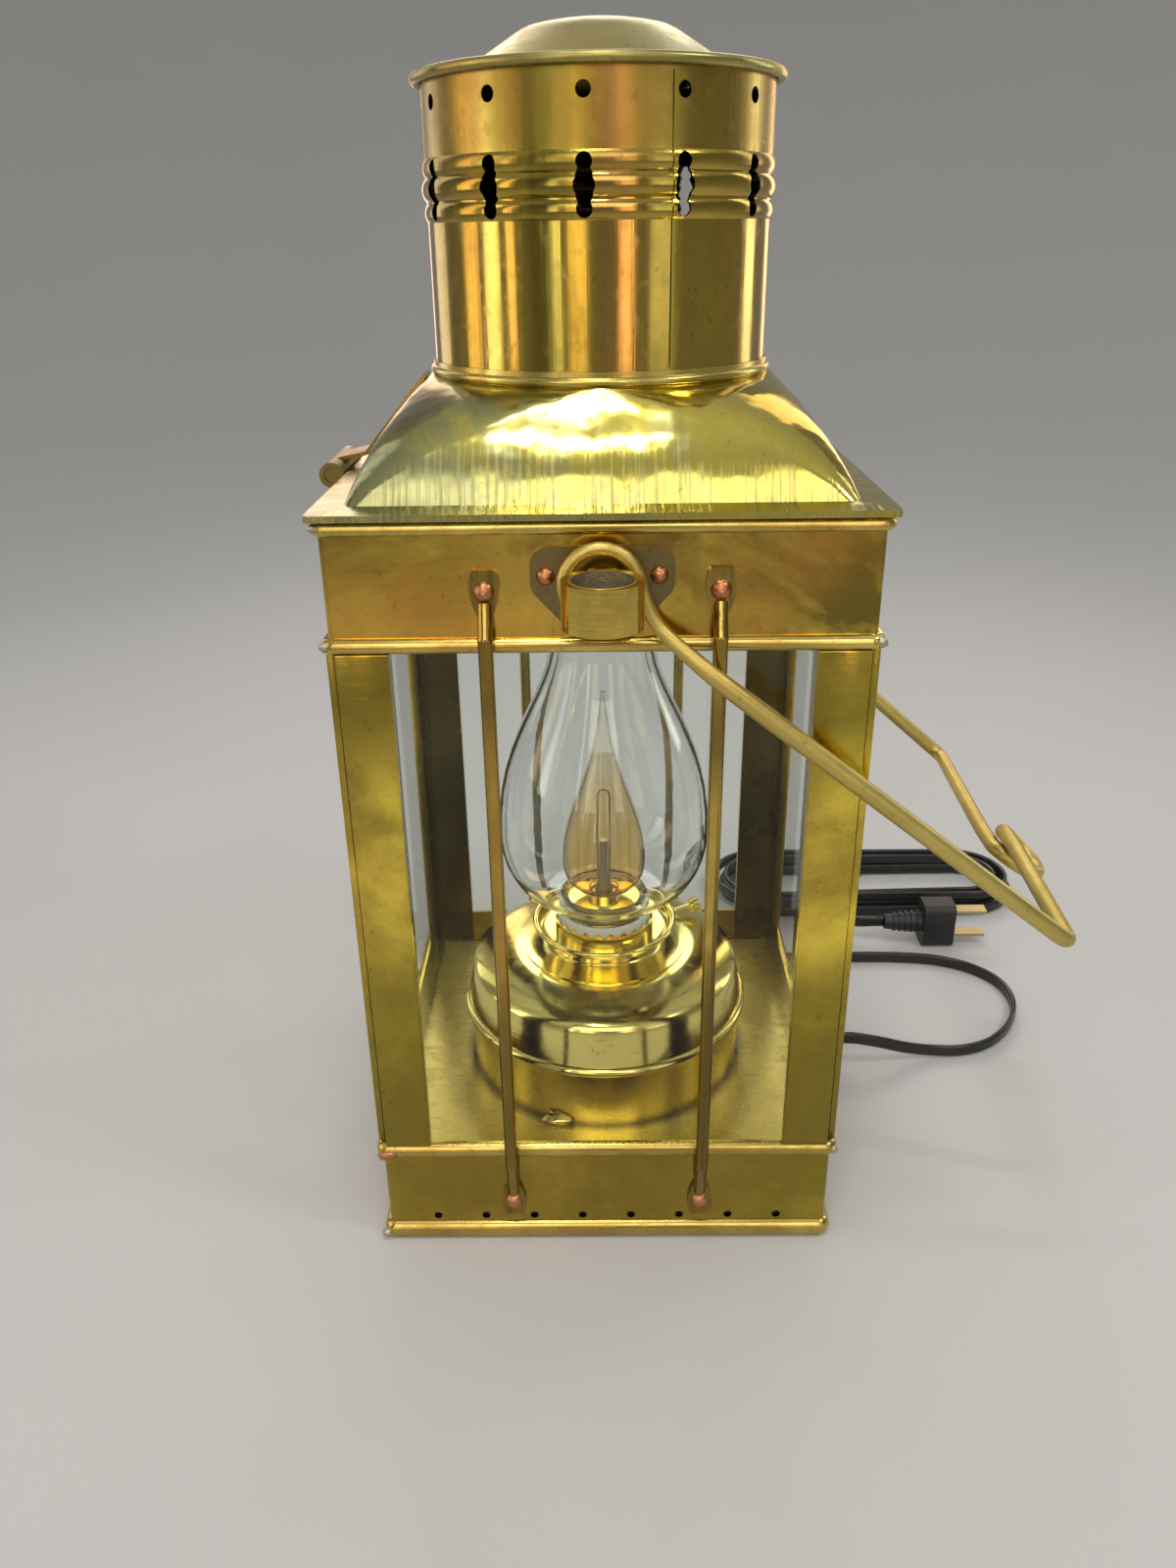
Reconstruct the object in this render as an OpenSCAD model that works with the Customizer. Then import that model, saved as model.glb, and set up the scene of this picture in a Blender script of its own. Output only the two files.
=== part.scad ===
// Square brass cargo lantern with an electric lamp inside.
// Origin at the middle of the bottom edge, front towards -Y, +Z up, millimetres.

/* [Body] */
// Outside width of the square body
body_w = 152; // [140:1:170]
// Thickness of the brass sheet
sheet = 1; // [0.8:0.1:1.2]
// Outside radius of the body's corners
corner_r = 2; // [1.6:0.2:3]
// Height of the base, from the bottom edge to the sill line
base_h = 38.8; // [34:0.2:44]
// Height of the window, from the sill line to the frieze line
window_h = 179; // [170:1:200]
// Height of the frieze, from the frieze line to the middle of the top bead
frieze_h = 32.4; // [31:0.2:40]
// Height of the floor's upper face above the bottom edge
floor_z = 27.8; // [24:0.2:29]

/* [Beads] */
// How far the beads stand out from the sheet
bead_out = 2.2; // [1.5:0.1:2.4]
// Height of the bead along the bottom edge
base_bead_h = 6.5; // [5:0.1:6.8]
// Height of the bead along the sill
sill_bead_h = 5.4; // [4:0.1:6]
// Height of the bead under the frieze
frieze_bead_h = 4.5; // [3.5:0.1:5]
// Height of the bead along the top edge
top_bead_h = 3.8; // [3:0.1:4.5]

/* [Air holes] */
// Number of air holes in each side of the base
vent_count = 8; // [4:2:8]
// Distance between neighbouring air holes
vent_pitch = 16.84; // [15:0.1:17]
// Diameter of an air hole
vent_d = 2.9; // [2:0.1:3]
// Height of the air holes
vent_z = 9.2; // [9:0.1:9.6]

/* [Windows] */
// Width of a cover strip beside a corner
strip_w = 15; // [12:0.5:18]
// Distance of a cover strip from the corner
strip_inset = 1.6; // [1.2:0.1:2.5]
// How far a cover strip stands out from the body's face
strip_out = 1.3; // [0.8:0.1:1.6]
// Sheet thickness of a cover strip
strip_t = 0.9; // [0.6:0.1:1.2]
// Thickness of a corner post's angle
post_t = 1; // [0.8:0.1:1.5]
// Thickness of a glass pane
glass_t = 2; // [1.5:0.1:3]
// How far a pane runs up behind the frieze
glass_up = 8; // [4:1:12]

/* [Guard rods] */
// Distance of a guard rod from the middle of its face
guard_x = 32; // [28:1:40]
// Diameter of a guard rod
guard_d = 4.2; // [3.5:0.1:5]
// Height of the lower guard rivets
guard_low_z = 17.2; // [16.8:0.1:18]
// Height of the upper guard rivets above the frieze line
guard_top_up = 15.4; // [14:0.1:18]
// Width of the flattened end of a rod
spoon_w = 8.2; // [7.5:0.1:9]
// Length of the flattened end of a rod beyond its rivet
spoon_len = 6; // [5:0.1:6.2]
// Thickness of the flattened end of a rod
spoon_t = 1.6; // [1.2:0.1:2]
// Diameter of a guard rivet's head
guard_rivet_d = 5.8; // [4.5:0.1:6]

/* [Bail lugs] */
// Width of a lug plate
lug_w = 39; // [37:1:44]
// Thickness of a lug plate
lug_t = 1.2; // [1:0.1:1.6]
// Height of a lug plate's upper edge above the frieze line
lug_top_up = 27.5; // [26:0.5:28]
// Height of a lug plate's lower edge above the frieze line
lug_low_up = 3.2; // [3:0.1:4]
// Width of a lug plate's lower edge
lug_low_w = 22; // [18:1:28]
// Distance of a lug rivet from the middle
lug_rivet_x = 15.3; // [15:0.1:16]
// Height of the lug rivets above the frieze line
lug_rivet_up = 19.5; // [18:0.1:21]
// Diameter of a lug rivet's head
lug_rivet_d = 5; // [4:0.1:5.2]
// Height of the bail's pivot above the frieze line
pivot_up = 17.5; // [16:0.1:18]
// Diameter of the boss that the bail turns on
boss_d = 14.8; // [13:0.1:17]
// Length of the boss between the plate and the barrel
boss_len = 8.6; // [7.5:0.1:10]
// Outside diameter of the barrel on the boss
barrel_d = 21.4; // [20:0.1:24]
// Bore of the barrel
barrel_bore = 16.4; // [14:0.1:17]
// Height of the barrel
barrel_h = 12.3; // [10:0.1:13]

/* [Bail] */
// Diameter of the bail wire
bail_wire = 5.5; // [4.5:0.1:6]
// Diameter of the wire where it is drawn down for the eye
eye_wire = 3.8; // [2.5:0.1:4]
// Play of the eye on its boss
eye_gap = 0.4; // [0.4:0.1:1]
// Distance of the eye's middle behind the pivot, since the eye is loose
eye_back = 0.5; // [0:0.1:1]
// Angle of the resting bail below the horizontal
bail_droop = 38; // [30:0.5:45]
// Length of the bail from its pivot to the cross-piece
bail_arm = 184; // [165:1:200]
// Difference in length between the rear and the front arm
bail_skew = 15.5; // [0:0.5:20]
// How much lower the rear corner hangs than the front one
bail_twist = 6.5; // [0:0.5:10]
// Distance of the arms from the body's face
bail_out = 12; // [11.5:0.5:16]
// Bend radius of the bail's corners
bail_bend = 6; // [5:0.5:12]
// Radius of the hanging loop at the middle of its wire
loop_r = 9.5; // [8:0.5:14]
// Place of the hanging loop along the cross-piece
loop_y = -8; // [-20:1:20]

/* [Lid] */
// How far the eave stands out past the body's face
eave_out = 2.7; // [2.4:0.1:4]
// Thickness of the hemmed eave
eave_t = 1.9; // [1.6:0.1:2.4]
// Width of the hem under the eave
hem_w = 5.2; // [4:0.1:6]
// Width of the flat brim around the roof
brim_w = 9; // [7:0.5:11]
// Rise of the brim from the eave to the crease
brim_rise = 0.6; // [0.2:0.1:1.2]
// Height of the roof from its crease to the collar
roof_h = 27.5; // [22:0.5:34]
// How far the roof's sides bulge out from straight
roof_bulge = 2; // [0.5:0.1:3]
// Corner radius of the roof at its crease
crease_r = 4; // [3:0.5:8]
// Gap under the closed lid
seat_gap = 0.3; // [0.2:0.1:0.6]

/* [Vent drum] */
// Outside diameter of the drum
drum_d = 100.4; // [90:0.2:104]
// Thickness of the drum's sheet
drum_t = 0.9; // [0.7:0.1:1.2]
// Height of the drum above the collar's foot
drum_h = 77.9; // [74:0.1:90]
// Height of the keyholes' middle above the collar's foot
keyhole_up = 49.4; // [45:0.2:52]
// Half the distance between a keyhole's round ends
keyhole_half = 5.5; // [5:0.1:6.5]
// Diameter of a keyhole's round ends
keyhole_d = 4.3; // [3.5:0.1:5]
// Width of a keyhole's wide middle
keyhole_mid_w = 5.8; // [5:0.1:7]
// Width of a keyhole's two necks
keyhole_neck_w = 3.4; // [3:0.1:3.8]
// Number of keyholes around the drum
keyhole_count = 12; // [8:1:14]
// Turn of the first keyhole from the front
keyhole_turn = -4.4; // [-15:0.1:15]
// Height of the small round holes above the collar's foot
porthole_up = 70.8; // [62:0.2:71]
// Diameter of a small round hole
porthole_d = 4; // [3:0.1:5]
// Height of the collar around the drum's foot
collar_h = 4; // [3:0.1:6]
// Thickness of the collar's sheet
collar_t = 0.7; // [0.5:0.1:1]
// Diameter of the collar's rolled foot
collar_roll_d = 2.6; // [2:0.1:3]

/* [Cap] */
// Thickness of the cap's rolled rim
cap_roll_d = 2.9; // [2:0.1:3.2]
// Gap between the drum and the rolled rim
cap_gap = 0.1; // [0.1:0.1:1]
// Diameter of the raised crown at its foot
crown_d = 78; // [70:1:86]
// Diameter of the crown at its shoulder
shoulder_d = 41; // [34:1:50]
// Height of the shoulder above the flat rim
shoulder_h = 10.9; // [8:0.1:14]
// Rise of the crown from its shoulder to its top
crown_rise = 2.4; // [2:0.1:6]

/* [Hinge] */
// Width of the hinge
hinge_w = 32; // [28:1:44]
// Width of the roof strap and its middle knuckle
strap_w = 14; // [10:1:18]
// Thickness of the strap and the leaf
hinge_t = 1.3; // [1:0.1:1.6]
// Diameter of the hinge pin
pin_d = 4.8; // [4:0.1:5.4]
// Wall of the rolled knuckles
knuckle_t = 1.45; // [1.2:0.05:1.8]
// Height of the leaf on the frieze
leaf_h = 18; // [12:1:20]

/* [Lamp font] */
// Diameter of the font's drum
font_d = 104; // [96:1:112]
// Height of the font's drum
font_h = 22.3; // [18:0.1:26]
// Thickness of the font's sheet
font_t = 0.9; // [0.7:0.1:1.2]
// Diameter of the rolled bead round the font
font_bead_d = 3.8; // [3:0.1:5]
// Height of the sloping band above the bead
band_h = 13.5; // [10:0.5:16]
// Height of the font's flat crown above the floor
crown_h = 46.4; // [45:0.1:52]
// Diameter of the font's flat crown
crown_flat_d = 66; // [62:1:70]

/* [Burner] */
// Diameter of the burner collar's foot
burner_foot_d = 62; // [58:1:64]
// Diameter of the burner collar's knurled neck
burner_neck_d = 45; // [42:1:48]
// Height of the burner collar
burner_h = 5.2; // [5.2:0.1:6]
// Diameter of the gallery's rim
gallery_d = 54.2; // [50:0.2:60]
// Height of the gallery's cup
gallery_h = 4.4; // [4:0.1:6]
// Diameter of the ring of prongs
prong_d = 37.2; // [37:0.2:40]
// Height of the prongs above the gallery's floor
prong_h = 7.5; // [5:0.1:9]
// Number of scallops between the prongs
prong_count = 24; // [16:2:30]
// Diameter of the white seat ring
seat_d = 35.2; // [34.6:0.2:35.4]
// Inside diameter of the white seat ring
seat_bore = 31; // [30:0.2:31.4]
// Height of the white seat ring
seat_h = 8.8; // [8.4:0.1:12]
// Direction of the wick knob, turned back from +X
knob_turn = 30; // [10:1:60]
// Diameter of the wick knob
knob_d = 5.4; // [4:0.1:6]
// Reach of the wick knob from the lamp's axis
knob_reach = 43; // [39:0.5:46]
// Diameter of the wick knob's stem
stem_d = 2.4; // [2:0.1:2.6]

/* [Chimney glass] */
// Height of the chimney glass
chimney_h = 136; // [128:1:138]
// Diameter of the chimney glass at its foot
chimney_foot_d = 33.2; // [32.4:0.2:34.4]
// Diameter of the chimney's belly
belly_d = 76.4; // [66:0.2:80]
// Height of the belly above the chimney's foot
belly_up = 33.5; // [30:0.5:40]
// Diameter of the chimney's neck
neck_d = 35.2; // [34:0.2:40]
// Height of the neck above the chimney's foot
neck_up = 108; // [100:1:112]
// Diameter of the chimney at its top
chimney_top_d = 38; // [36:0.2:44]
// Thickness of the chimney glass
chimney_t = 1.6; // [1.2:0.1:2]

/* [Bulb] */
// Widest diameter of the flame bulb
bulb_d = 31; // [28:0.2:33]
// Height of the bulb's glass
bulb_h = 80; // [66:1:90]
// Thickness of the bulb's glass
bulb_t = 0.8; // [0.6:0.1:1]
// Diameter of the bulb's screw base
bulb_base_d = 11.8; // [11:0.1:12.4]
// Diameter of the lamp socket
socket_d = 27; // [22:0.5:28]
// Diameter of the threaded tube through the font
nipple_d = 9.8; // [9:0.1:11]

/* [Cord] */
// Width of the flat twin cord
cord_w = 5.2; // [4.6:0.1:5.2]
// Thickness of the flat twin cord
cord_t = 2.6; // [2.2:0.1:2.6]
// Place of the cord's exit along the right side
exit_y = 17; // [15:0.5:18]
// Height of the cord's exit
exit_z = 14; // [13:0.5:15]
// Length of the bushing's tapered nose
nose_len = 20; // [15:0.5:20]
// Step of the hank's loops outwards
hank_pitch = 5.6; // [5.6:0.1:6]
// Radius of the hank's outermost loop
hank_r = 26; // [25:0.5:26]
// Length of the hank's straight runs
hank_run = 104; // [96:1:104]

/* [Plug] */
// Length of the plug's ribbed neck
plug_neck = 18; // [18:0.5:22]
// Length of the plug's body
plug_len = 15; // [14:0.5:18]
// Width of the plug's body
plug_w = 22; // [20:0.5:24]
// Thickness of the plug's body
plug_t = 14; // [13:0.5:15]
// Distance between the blades
blade_gap = 12.7; // [12:0.1:13]
// Length of a blade
blade_len = 15.9; // [14:0.1:18]
// Width of a blade
blade_w = 6.35; // [6:0.05:6.5]
// Thickness of a blade
blade_t = 1.5; // [1.3:0.1:1.7]

/* [Hidden] */

$fn = 64;
brass = "#b5963c";
dull_brass = "#94803a";
wire_brass = "#c9b25a";
copper = "#b87a5a";
clear_glass = [0.75, 0.85, 0.85, 0.3];
black = "#1b1b1d";

// Lines of the body
half = body_w / 2;
inner_half = half - sheet;
flat_half = half - corner_r;
sill_z = base_h;
frieze_z = base_h + window_h;
top_z = frieze_z + frieze_h;
body_top = top_z + top_bead_h / 2;
skirt_top = sill_z + sill_bead_h / 2;
frieze_low = frieze_z - frieze_bead_h / 2;
hole_fit = 0.05;
cut = 0.5;
sides = [0, 90, 180, 270];

// Windows
post_face = inner_half;
post_leg = strip_inset + strip_w - sheet;
strip_edge = half - strip_inset - strip_w;
pane_gap = 0.3;
pane_face = post_face - post_t;
pane_half = pane_face - glass_t - pane_gap;

// Guard rods
guard_gap = 0.3;
guard_stand = bead_out + guard_d / 2 + guard_gap;
guard_low_bend = sill_z - sill_bead_h / 2 - 0.6;
guard_top_bend = frieze_z + frieze_bead_h / 2 + 0.6;
guard_top_z = frieze_z + guard_top_up;
guard_neck_d = guard_d - 0.2;
rivet_shank_d = 2.6;
rivet_head_h = 2;

// Bail lugs
pivot_z = frieze_z + pivot_up;
lug_face = half + lug_t;
barrel_back = lug_face + boss_len;
barrel_y = barrel_back + barrel_d / 2;
boss_sink = 1.4;
lug_corner_r = 5;

// Bail
eye_r = boss_d / 2 + eye_gap + eye_back + eye_wire / 2;
eye_y = lug_face + boss_len / 2;
arm_y = half + bail_out;
loop_gap = 0.6;
loop_step = bail_wire + loop_gap;
bail_sides = 12;

// Lid
lid_low = body_top + seat_gap;
eave = half + eave_out;
crease = eave - brim_w;
crease_z = lid_low + eave_t + brim_rise;
roof_top = crease_z + roof_h;
drum_r = drum_d / 2;
roof_hole = drum_r + 0.55;
roof_edge = roof_hole + 0.85;
ring_steps = 9;
profile_steps = 8;
drum_foot = roof_top - 1.5;
drum_top = roof_top + drum_h;
cap_r = drum_r + cap_gap + cap_roll_d;
seam_out = 0.45;
seam_angle = 22;
seam_sweep = 4;

// Hinge
knuckle_r = pin_d / 2 + hole_fit + knuckle_t;
leaf_gap = 0.8;
hinge_x = -(eave + leaf_gap + knuckle_r);
hinge_z = lid_low + eave_t / 2;
knuckle_gap = 0.4;
side_knuckle = (hinge_w - strap_w) / 2 - knuckle_gap;
strap_lift = 0.15;

// Lamp
font_r = font_d / 2;
font_top = floor_z + font_h;
bead_z = font_top + font_bead_d / 2;
lamp_crown = floor_z + crown_h;
gallery_z = lamp_crown + burner_h;
seat_z = gallery_z + sheet;
seat_top = seat_z + seat_h;
chimney_z = seat_top;
socket_h = 13;
socket_top = seat_z + socket_h;
bush_d = 4;
knob_z = lamp_crown + bush_d / 2 + 0.6;
bush_end = 29;
bush_start = 18;
knob_len = 3;
nipple_low = floor_z - sheet - 1;

// Cord: round-number route points, the flat cord standing on edge
cord_z = 2.8;
layer_gap = 0.6;
layer_rise = cord_w + layer_gap;
tie_w = 6;
tie_t = 0.4;
tie_room = 0.3;
bushing_x = half + 2;
nose_x = bushing_x + nose_len;
lead_route = [
  [106, 17, 13.6], [116, 18, 10.8], [127, 20, 6.6], [139, 22, 3.6],
  [152, 23, cord_z], [165, 28, cord_z], [177, 40, cord_z], [184, 56, cord_z], [183, 72, cord_z],
  [174, 84, cord_z], [161, 91, cord_z], [146, 94, cord_z], [128, 95, cord_z], [108, 95, cord_z],
  [88, 95, cord_z], [70, 95, cord_z], [55, 101, cord_z], [49, 116, cord_z], [55, 131, cord_z]
];
hank_start = [85, 137];
hank_z = cord_z + 0.6;
plug_start = [138, 114, plug_w / 2];
inner_route = [[50, 17, 14], [34, 16, 14], [20, 12, 14], [8, 6, 14], [2, 2, 16], [0, 0, 19]];

// Vectors and curves
function unit(v) = v / norm(v);
function reversed(p) = [for (i = [len(p) - 1 : -1 : 0]) p[i]];
function ease(t) = let (c = max(0, min(1, t))) c * c * (3 - 2 * c);
function arc(c, r, a0, a1, n) =
  [for (i = [0:n]) let (a = a0 + (a1 - a0) * i / n) c + r * [cos(a), sin(a)]];
function bezier(p0, p1, p2, p3, n) =
  [for (i = [0:n]) let (t = i / n, s = 1 - t)
    s * s * s * p0 + 3 * s * s * t * p1 + 3 * s * t * t * p2 + t * t * t * p3];
function ahead(p, i) = p[min(i + 1, len(p) - 1)] - p[max(i - 1, 0)];

// The same line moved sideways by a thickness, never past the axis
function beside(p, t) =
  [for (i = [0 : len(p) - 1]) let (d = unit(ahead(p, i)), q = p[i] + t * [-d[1], d[0]]) q];
function kept_right(p) = [for (q = p) [max(0, q[0]), q[1]]];

// A smooth curve through chosen points
function spline_point(a, b, c, d, t) =
  0.5 * (2 * b + t * (c - a) + t * t * (2 * a - 5 * b + 4 * c - d) + t * t * t * (3 * b - 3 * c + d - a));
function through(p, n) = concat(
  [for (i = [0 : len(p) - 2], k = [0 : n - 1])
    spline_point(p[max(i - 1, 0)], p[i], p[i + 1], p[min(i + 2, len(p) - 1)], k / n)],
  [p[len(p) - 1]]);

// Sideways directions carried along a path without twist
function carried(dirs, start) =
  [for (i = 0, n = unit(start - (start * dirs[0]) * dirs[0]);
        i < len(dirs);
        i = i + 1, n = i < len(dirs) ? unit(n - (n * dirs[i]) * dirs[i]) : n) n];
function directions(p) = [for (i = [0 : len(p) - 1]) unit(ahead(p, i))];

// A closed tube along a path: half sizes across and up at each ring
module tube(path, across, up, start, count) {
  dirs = directions(path);
  normals = carried(dirs, start);
  rings = len(path);
  points = concat(
    [for (i = [0 : rings - 1], k = [0 : count - 1])
      let (a = 360 * k / count, b = cross(dirs[i], normals[i]))
      path[i] + across[i] * cos(a) * normals[i] + up[i] * sin(a) * b],
    [path[0], path[rings - 1]]);
  walls = [for (i = [0 : rings - 2], k = [0 : count - 1])
    let (a = i * count + k, b = i * count + (k + 1) % count)
    each [[a, a + count, b], [b, a + count, b + count]]];
  low_cap = [for (k = [0 : count - 1]) [rings * count, k, (k + 1) % count]];
  high_cap = [for (k = [0 : count - 1])
    [rings * count + 1, (rings - 1) * count + (k + 1) % count, (rings - 1) * count + k]];
  polyhedron(points, concat(walls, low_cap, high_cap));
}

module cord_tube(path, count) {
  tube(path, [for (p = path) cord_t / 2], [for (p = path) cord_w / 2], [0, 1, 0], count);
}

// Thin sheet spun round the Z axis, from a line of [radius, height] points
module spun(line, t) {
  rotate_extrude()
    polygon(concat(kept_right(line), reversed(kept_right(beside(line, t)))));
}

// Square with rounded corners
module rounded_square(w, r) {
  square([w, w - 2 * r], center = true);
  square([w - 2 * r, w], center = true);
  for (x = [-1, 1], y = [-1, 1])
    translate([x, y] * (w / 2 - r)) circle(r);
}

// Square ring of sheet, one thickness inside a given half width
module square_ring(outer, r, t) {
  difference() {
    rounded_square(2 * outer, r);
    rounded_square(2 * (outer - t), max(0.2, r - t));
  }
}

// Round-nosed bead around the body, its middle at height z
module bead(h, out, z) {
  r = (h * h / 4 + out * out) / (2 * out);
  for (a = sides) rotate(a) {
    translate([half, 0, z]) rotate([90, 0, 0])
      linear_extrude(2 * flat_half, center = true) bead_profile(h, out, r);
    translate([flat_half, flat_half, z])
      rotate_extrude(angle = 90) translate([corner_r, 0]) bead_profile(h, out, r);
  }
}

module bead_profile(h, out, r) {
  intersection() {
    translate([out - r, 0]) circle(r);
    translate([0, -h]) square([2 * out, 2 * h]);
  }
}

// Round-headed rivet: head on the outside at y = 0, shank going in along +Y
module rivet(head_d, grip) {
  r = (head_d * head_d / 4 + rivet_head_h * rivet_head_h) / (2 * rivet_head_h);
  rotate([90, 0, 0]) rotate_extrude() {
    intersection() {
      translate([0, rivet_head_h - r]) circle(r);
      square([head_d, rivet_head_h]);
    }
    translate([0, -grip]) square([rivet_shank_d / 2, grip]);
  }
}

// Hole for a rivet through the front sheet
module rivet_hole(x, z) {
  translate([x, -half, z]) rotate([90, 0, 0])
    cylinder(d = rivet_shank_d + 2 * hole_fit, h = 4 * sheet + 2 * lug_t + 2 * spoon_t, center = true);
}

// Base and floor
module base_skirt() color(brass) difference() {
  linear_extrude(skirt_top) square_ring(half, corner_r, sheet);
  for (a = sides) rotate(a) {
    for (i = [0 : vent_count - 1])
      translate([(i - (vent_count - 1) / 2) * vent_pitch, -half, vent_z]) rotate([90, 0, 0])
        cylinder(d = vent_d, h = 4 * sheet, center = true);
    for (x = [-guard_x, guard_x]) rivet_hole(x, guard_low_z);
  }
  translate([half, exit_y, exit_z]) rotate([0, 90, 0])
    cylinder(d = bush_hole_d() + 2 * hole_fit, h = 4 * sheet, center = true);
}

function bush_hole_d() = cord_w + 3;

module base_bead() color(brass) bead(base_bead_h, bead_out, base_bead_h / 2);

module sill_bead() color(brass) bead(sill_bead_h, bead_out, sill_z);

module floor_plate() color(brass) translate([0, 0, floor_z - sheet]) difference() {
  linear_extrude(sheet) rounded_square(2 * inner_half, max(0.2, corner_r - sheet));
  translate([0, 0, -cut]) cylinder(d = nipple_d + 2 * hole_fit, h = sheet + 2 * cut);
}

// Corner posts: an angle standing on the floor inside each corner
module corner_post(turn) color(dull_brass) rotate(turn) translate([0, 0, floor_z])
  linear_extrude(body_top - sheet - floor_z) intersection() {
    square_ring(post_face, max(0.3, corner_r - sheet), post_t);
    translate([-post_face - cut, -post_face - cut]) square(post_leg + cut);
  }

module corner_post_front_left() corner_post(0);
module corner_post_front_right() corner_post(90);
module corner_post_rear_right() corner_post(180);
module corner_post_rear_left() corner_post(270);

// Cover strips: two folded channels on the posts, one beside each corner
module strips(turn) color(brass) rotate(turn) translate([0, 0, skirt_top])
  linear_extrude(frieze_low - skirt_top)
    for (s = [0, 1]) mirror([s, 0]) translate([-strip_edge - strip_w, -half - strip_out])
      difference() {
        square([strip_w, strip_out + sheet]);
        translate([strip_t, strip_t]) square([strip_w - 2 * strip_t, strip_out + sheet]);
      }

module strips_front() strips(0);
module strips_right() strips(90);
module strips_rear() strips(180);
module strips_left() strips(270);

// Panes standing on the floor behind the posts
module pane(turn) color(clear_glass) rotate(turn)
  translate([-pane_half, -pane_face, floor_z])
    cube([2 * pane_half, glass_t, frieze_z + glass_up - floor_z]);

module glass_front() pane(0);
module glass_right() pane(90);
module glass_rear() pane(180);
module glass_left() pane(270);

// Frieze and its beads
module frieze() color(brass) difference() {
  translate([0, 0, frieze_low]) linear_extrude(body_top - frieze_low)
    square_ring(half, corner_r, sheet);
  for (a = sides) rotate(a)
    for (x = [-guard_x, guard_x]) rivet_hole(x, guard_top_z);
  for (a = [0, 180]) rotate(a)
    for (x = [-lug_rivet_x, lug_rivet_x]) rivet_hole(x, frieze_z + lug_rivet_up);
}

module frieze_bead() color(brass) bead(frieze_bead_h, bead_out, frieze_z);

module top_bead() color(brass) bead(top_bead_h, bead_out, top_z);

// Guard rods: a round bar bent in over each bead to a flattened, riveted end
module guard_rod() {
  bar_low = guard_low_bend;
  bar_high = guard_top_bend;
  difference() {
    union() {
      translate([0, -guard_stand, bar_low]) cylinder(d = guard_d, h = bar_high - bar_low);
      guard_end(bar_high, guard_top_z);
      guard_end(bar_low, guard_low_z);
    }
    translate([-spoon_w, 0, 0]) cube([2 * spoon_w, guard_stand + guard_d, top_z]);
    for (z = [guard_low_z, guard_top_z])
      translate([0, 0, z]) rotate([90, 0, 0])
        cylinder(d = rivet_shank_d + 2 * hole_fit, h = 4 * spoon_t, center = true);
  }
}

module guard_end(bend_z, rivet_z) {
  toward = sign(bend_z - rivet_z);
  foot = [0, -spoon_t / 2, rivet_z + toward * (guard_rivet_d / 2 + 0.7)];
  bend = [0, -guard_stand, bend_z];
  run = foot - bend;
  translate(bend) sphere(d = guard_d);
  translate(bend) rotate([-atan2(run[1], run[2]), 0, 0]) cylinder(d = guard_neck_d, h = norm(run));
  translate([0, 0, rivet_z]) rotate([90, 0, 0]) linear_extrude(spoon_t)
    scale([1, toward]) polygon(spoon_outline());
}

// Leaf-shaped outline around the rivet, running into the rod at its upper end
function spoon_outline() = let (
    w = spoon_w / 2,
    side = bezier([0.7 * w, -spoon_len], [1.25 * w, -0.5 * spoon_len], [1.05 * w, 0.4 * spoon_len],
                  [guard_neck_d / 2, spoon_len + 1], 8))
  concat(side, [for (p = reversed(side)) [-p[0], p[1]]]);

module guard_rods(turn) color(brass) rotate(turn)
  for (x = [-guard_x, guard_x]) translate([x, -half, 0]) guard_rod();

module guard_rods_front() guard_rods(0);
module guard_rods_right() guard_rods(90);
module guard_rods_rear() guard_rods(180);
module guard_rods_left() guard_rods(270);

module guard_rivets() color(copper) for (a = sides) rotate(a)
  for (x = [-guard_x, guard_x], z = [guard_low_z, guard_top_z])
    translate([x, -half - spoon_t, z]) rivet(guard_rivet_d, spoon_t + sheet);

// Bail lugs: a shield-shaped plate, and a boss that carries a short upright barrel
function shield() = let (
    x = lug_w / 2,
    low = lug_low_up,
    top = lug_top_up,
    r = lug_corner_r)
  concat(
    arc([x - r, top - r], r, 0, 90, 8),
    arc([r - x, top - r], r, 90, 180, 8),
    arc([r - x, top - 2 * r], r, 180, 220, 4),
    arc([-lug_low_w / 2 + r, low + r], r, 210, 270, 6),
    arc([lug_low_w / 2 - r, low + r], r, 270, 330, 6),
    arc([x - r, top - 2 * r], r, -40, 0, 4));

module lug_plate(turn) color(dull_brass) rotate(turn) difference() {
  translate([0, -half, frieze_z]) rotate([90, 0, 0]) linear_extrude(lug_t) polygon(shield());
  for (x = [-lug_rivet_x, lug_rivet_x]) rivet_hole(x, frieze_z + lug_rivet_up);
}

module lug_plate_front() lug_plate(0);
module lug_plate_rear() lug_plate(180);

module lug_barrel(turn) color(brass) rotate(turn) translate([0, 0, pivot_z]) difference() {
  union() {
    translate([0, -lug_face, 0]) rotate([90, 0, 0]) cylinder(d = boss_d, h = boss_len + boss_sink);
    translate([0, -barrel_y, 0]) cylinder(d = barrel_d, h = barrel_h, center = true);
  }
  translate([0, -barrel_y, 0]) cylinder(d = barrel_bore, h = barrel_h + 2 * cut, center = true);
}

module lug_barrel_front() lug_barrel(0);
module lug_barrel_rear() lug_barrel(180);

module lug_rivets() color(copper) for (a = [0, 180]) rotate(a)
  for (x = [-lug_rivet_x, lug_rivet_x])
    translate([x, -lug_face, frieze_z + lug_rivet_up]) rivet(lug_rivet_d, lug_t + sheet);

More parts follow.
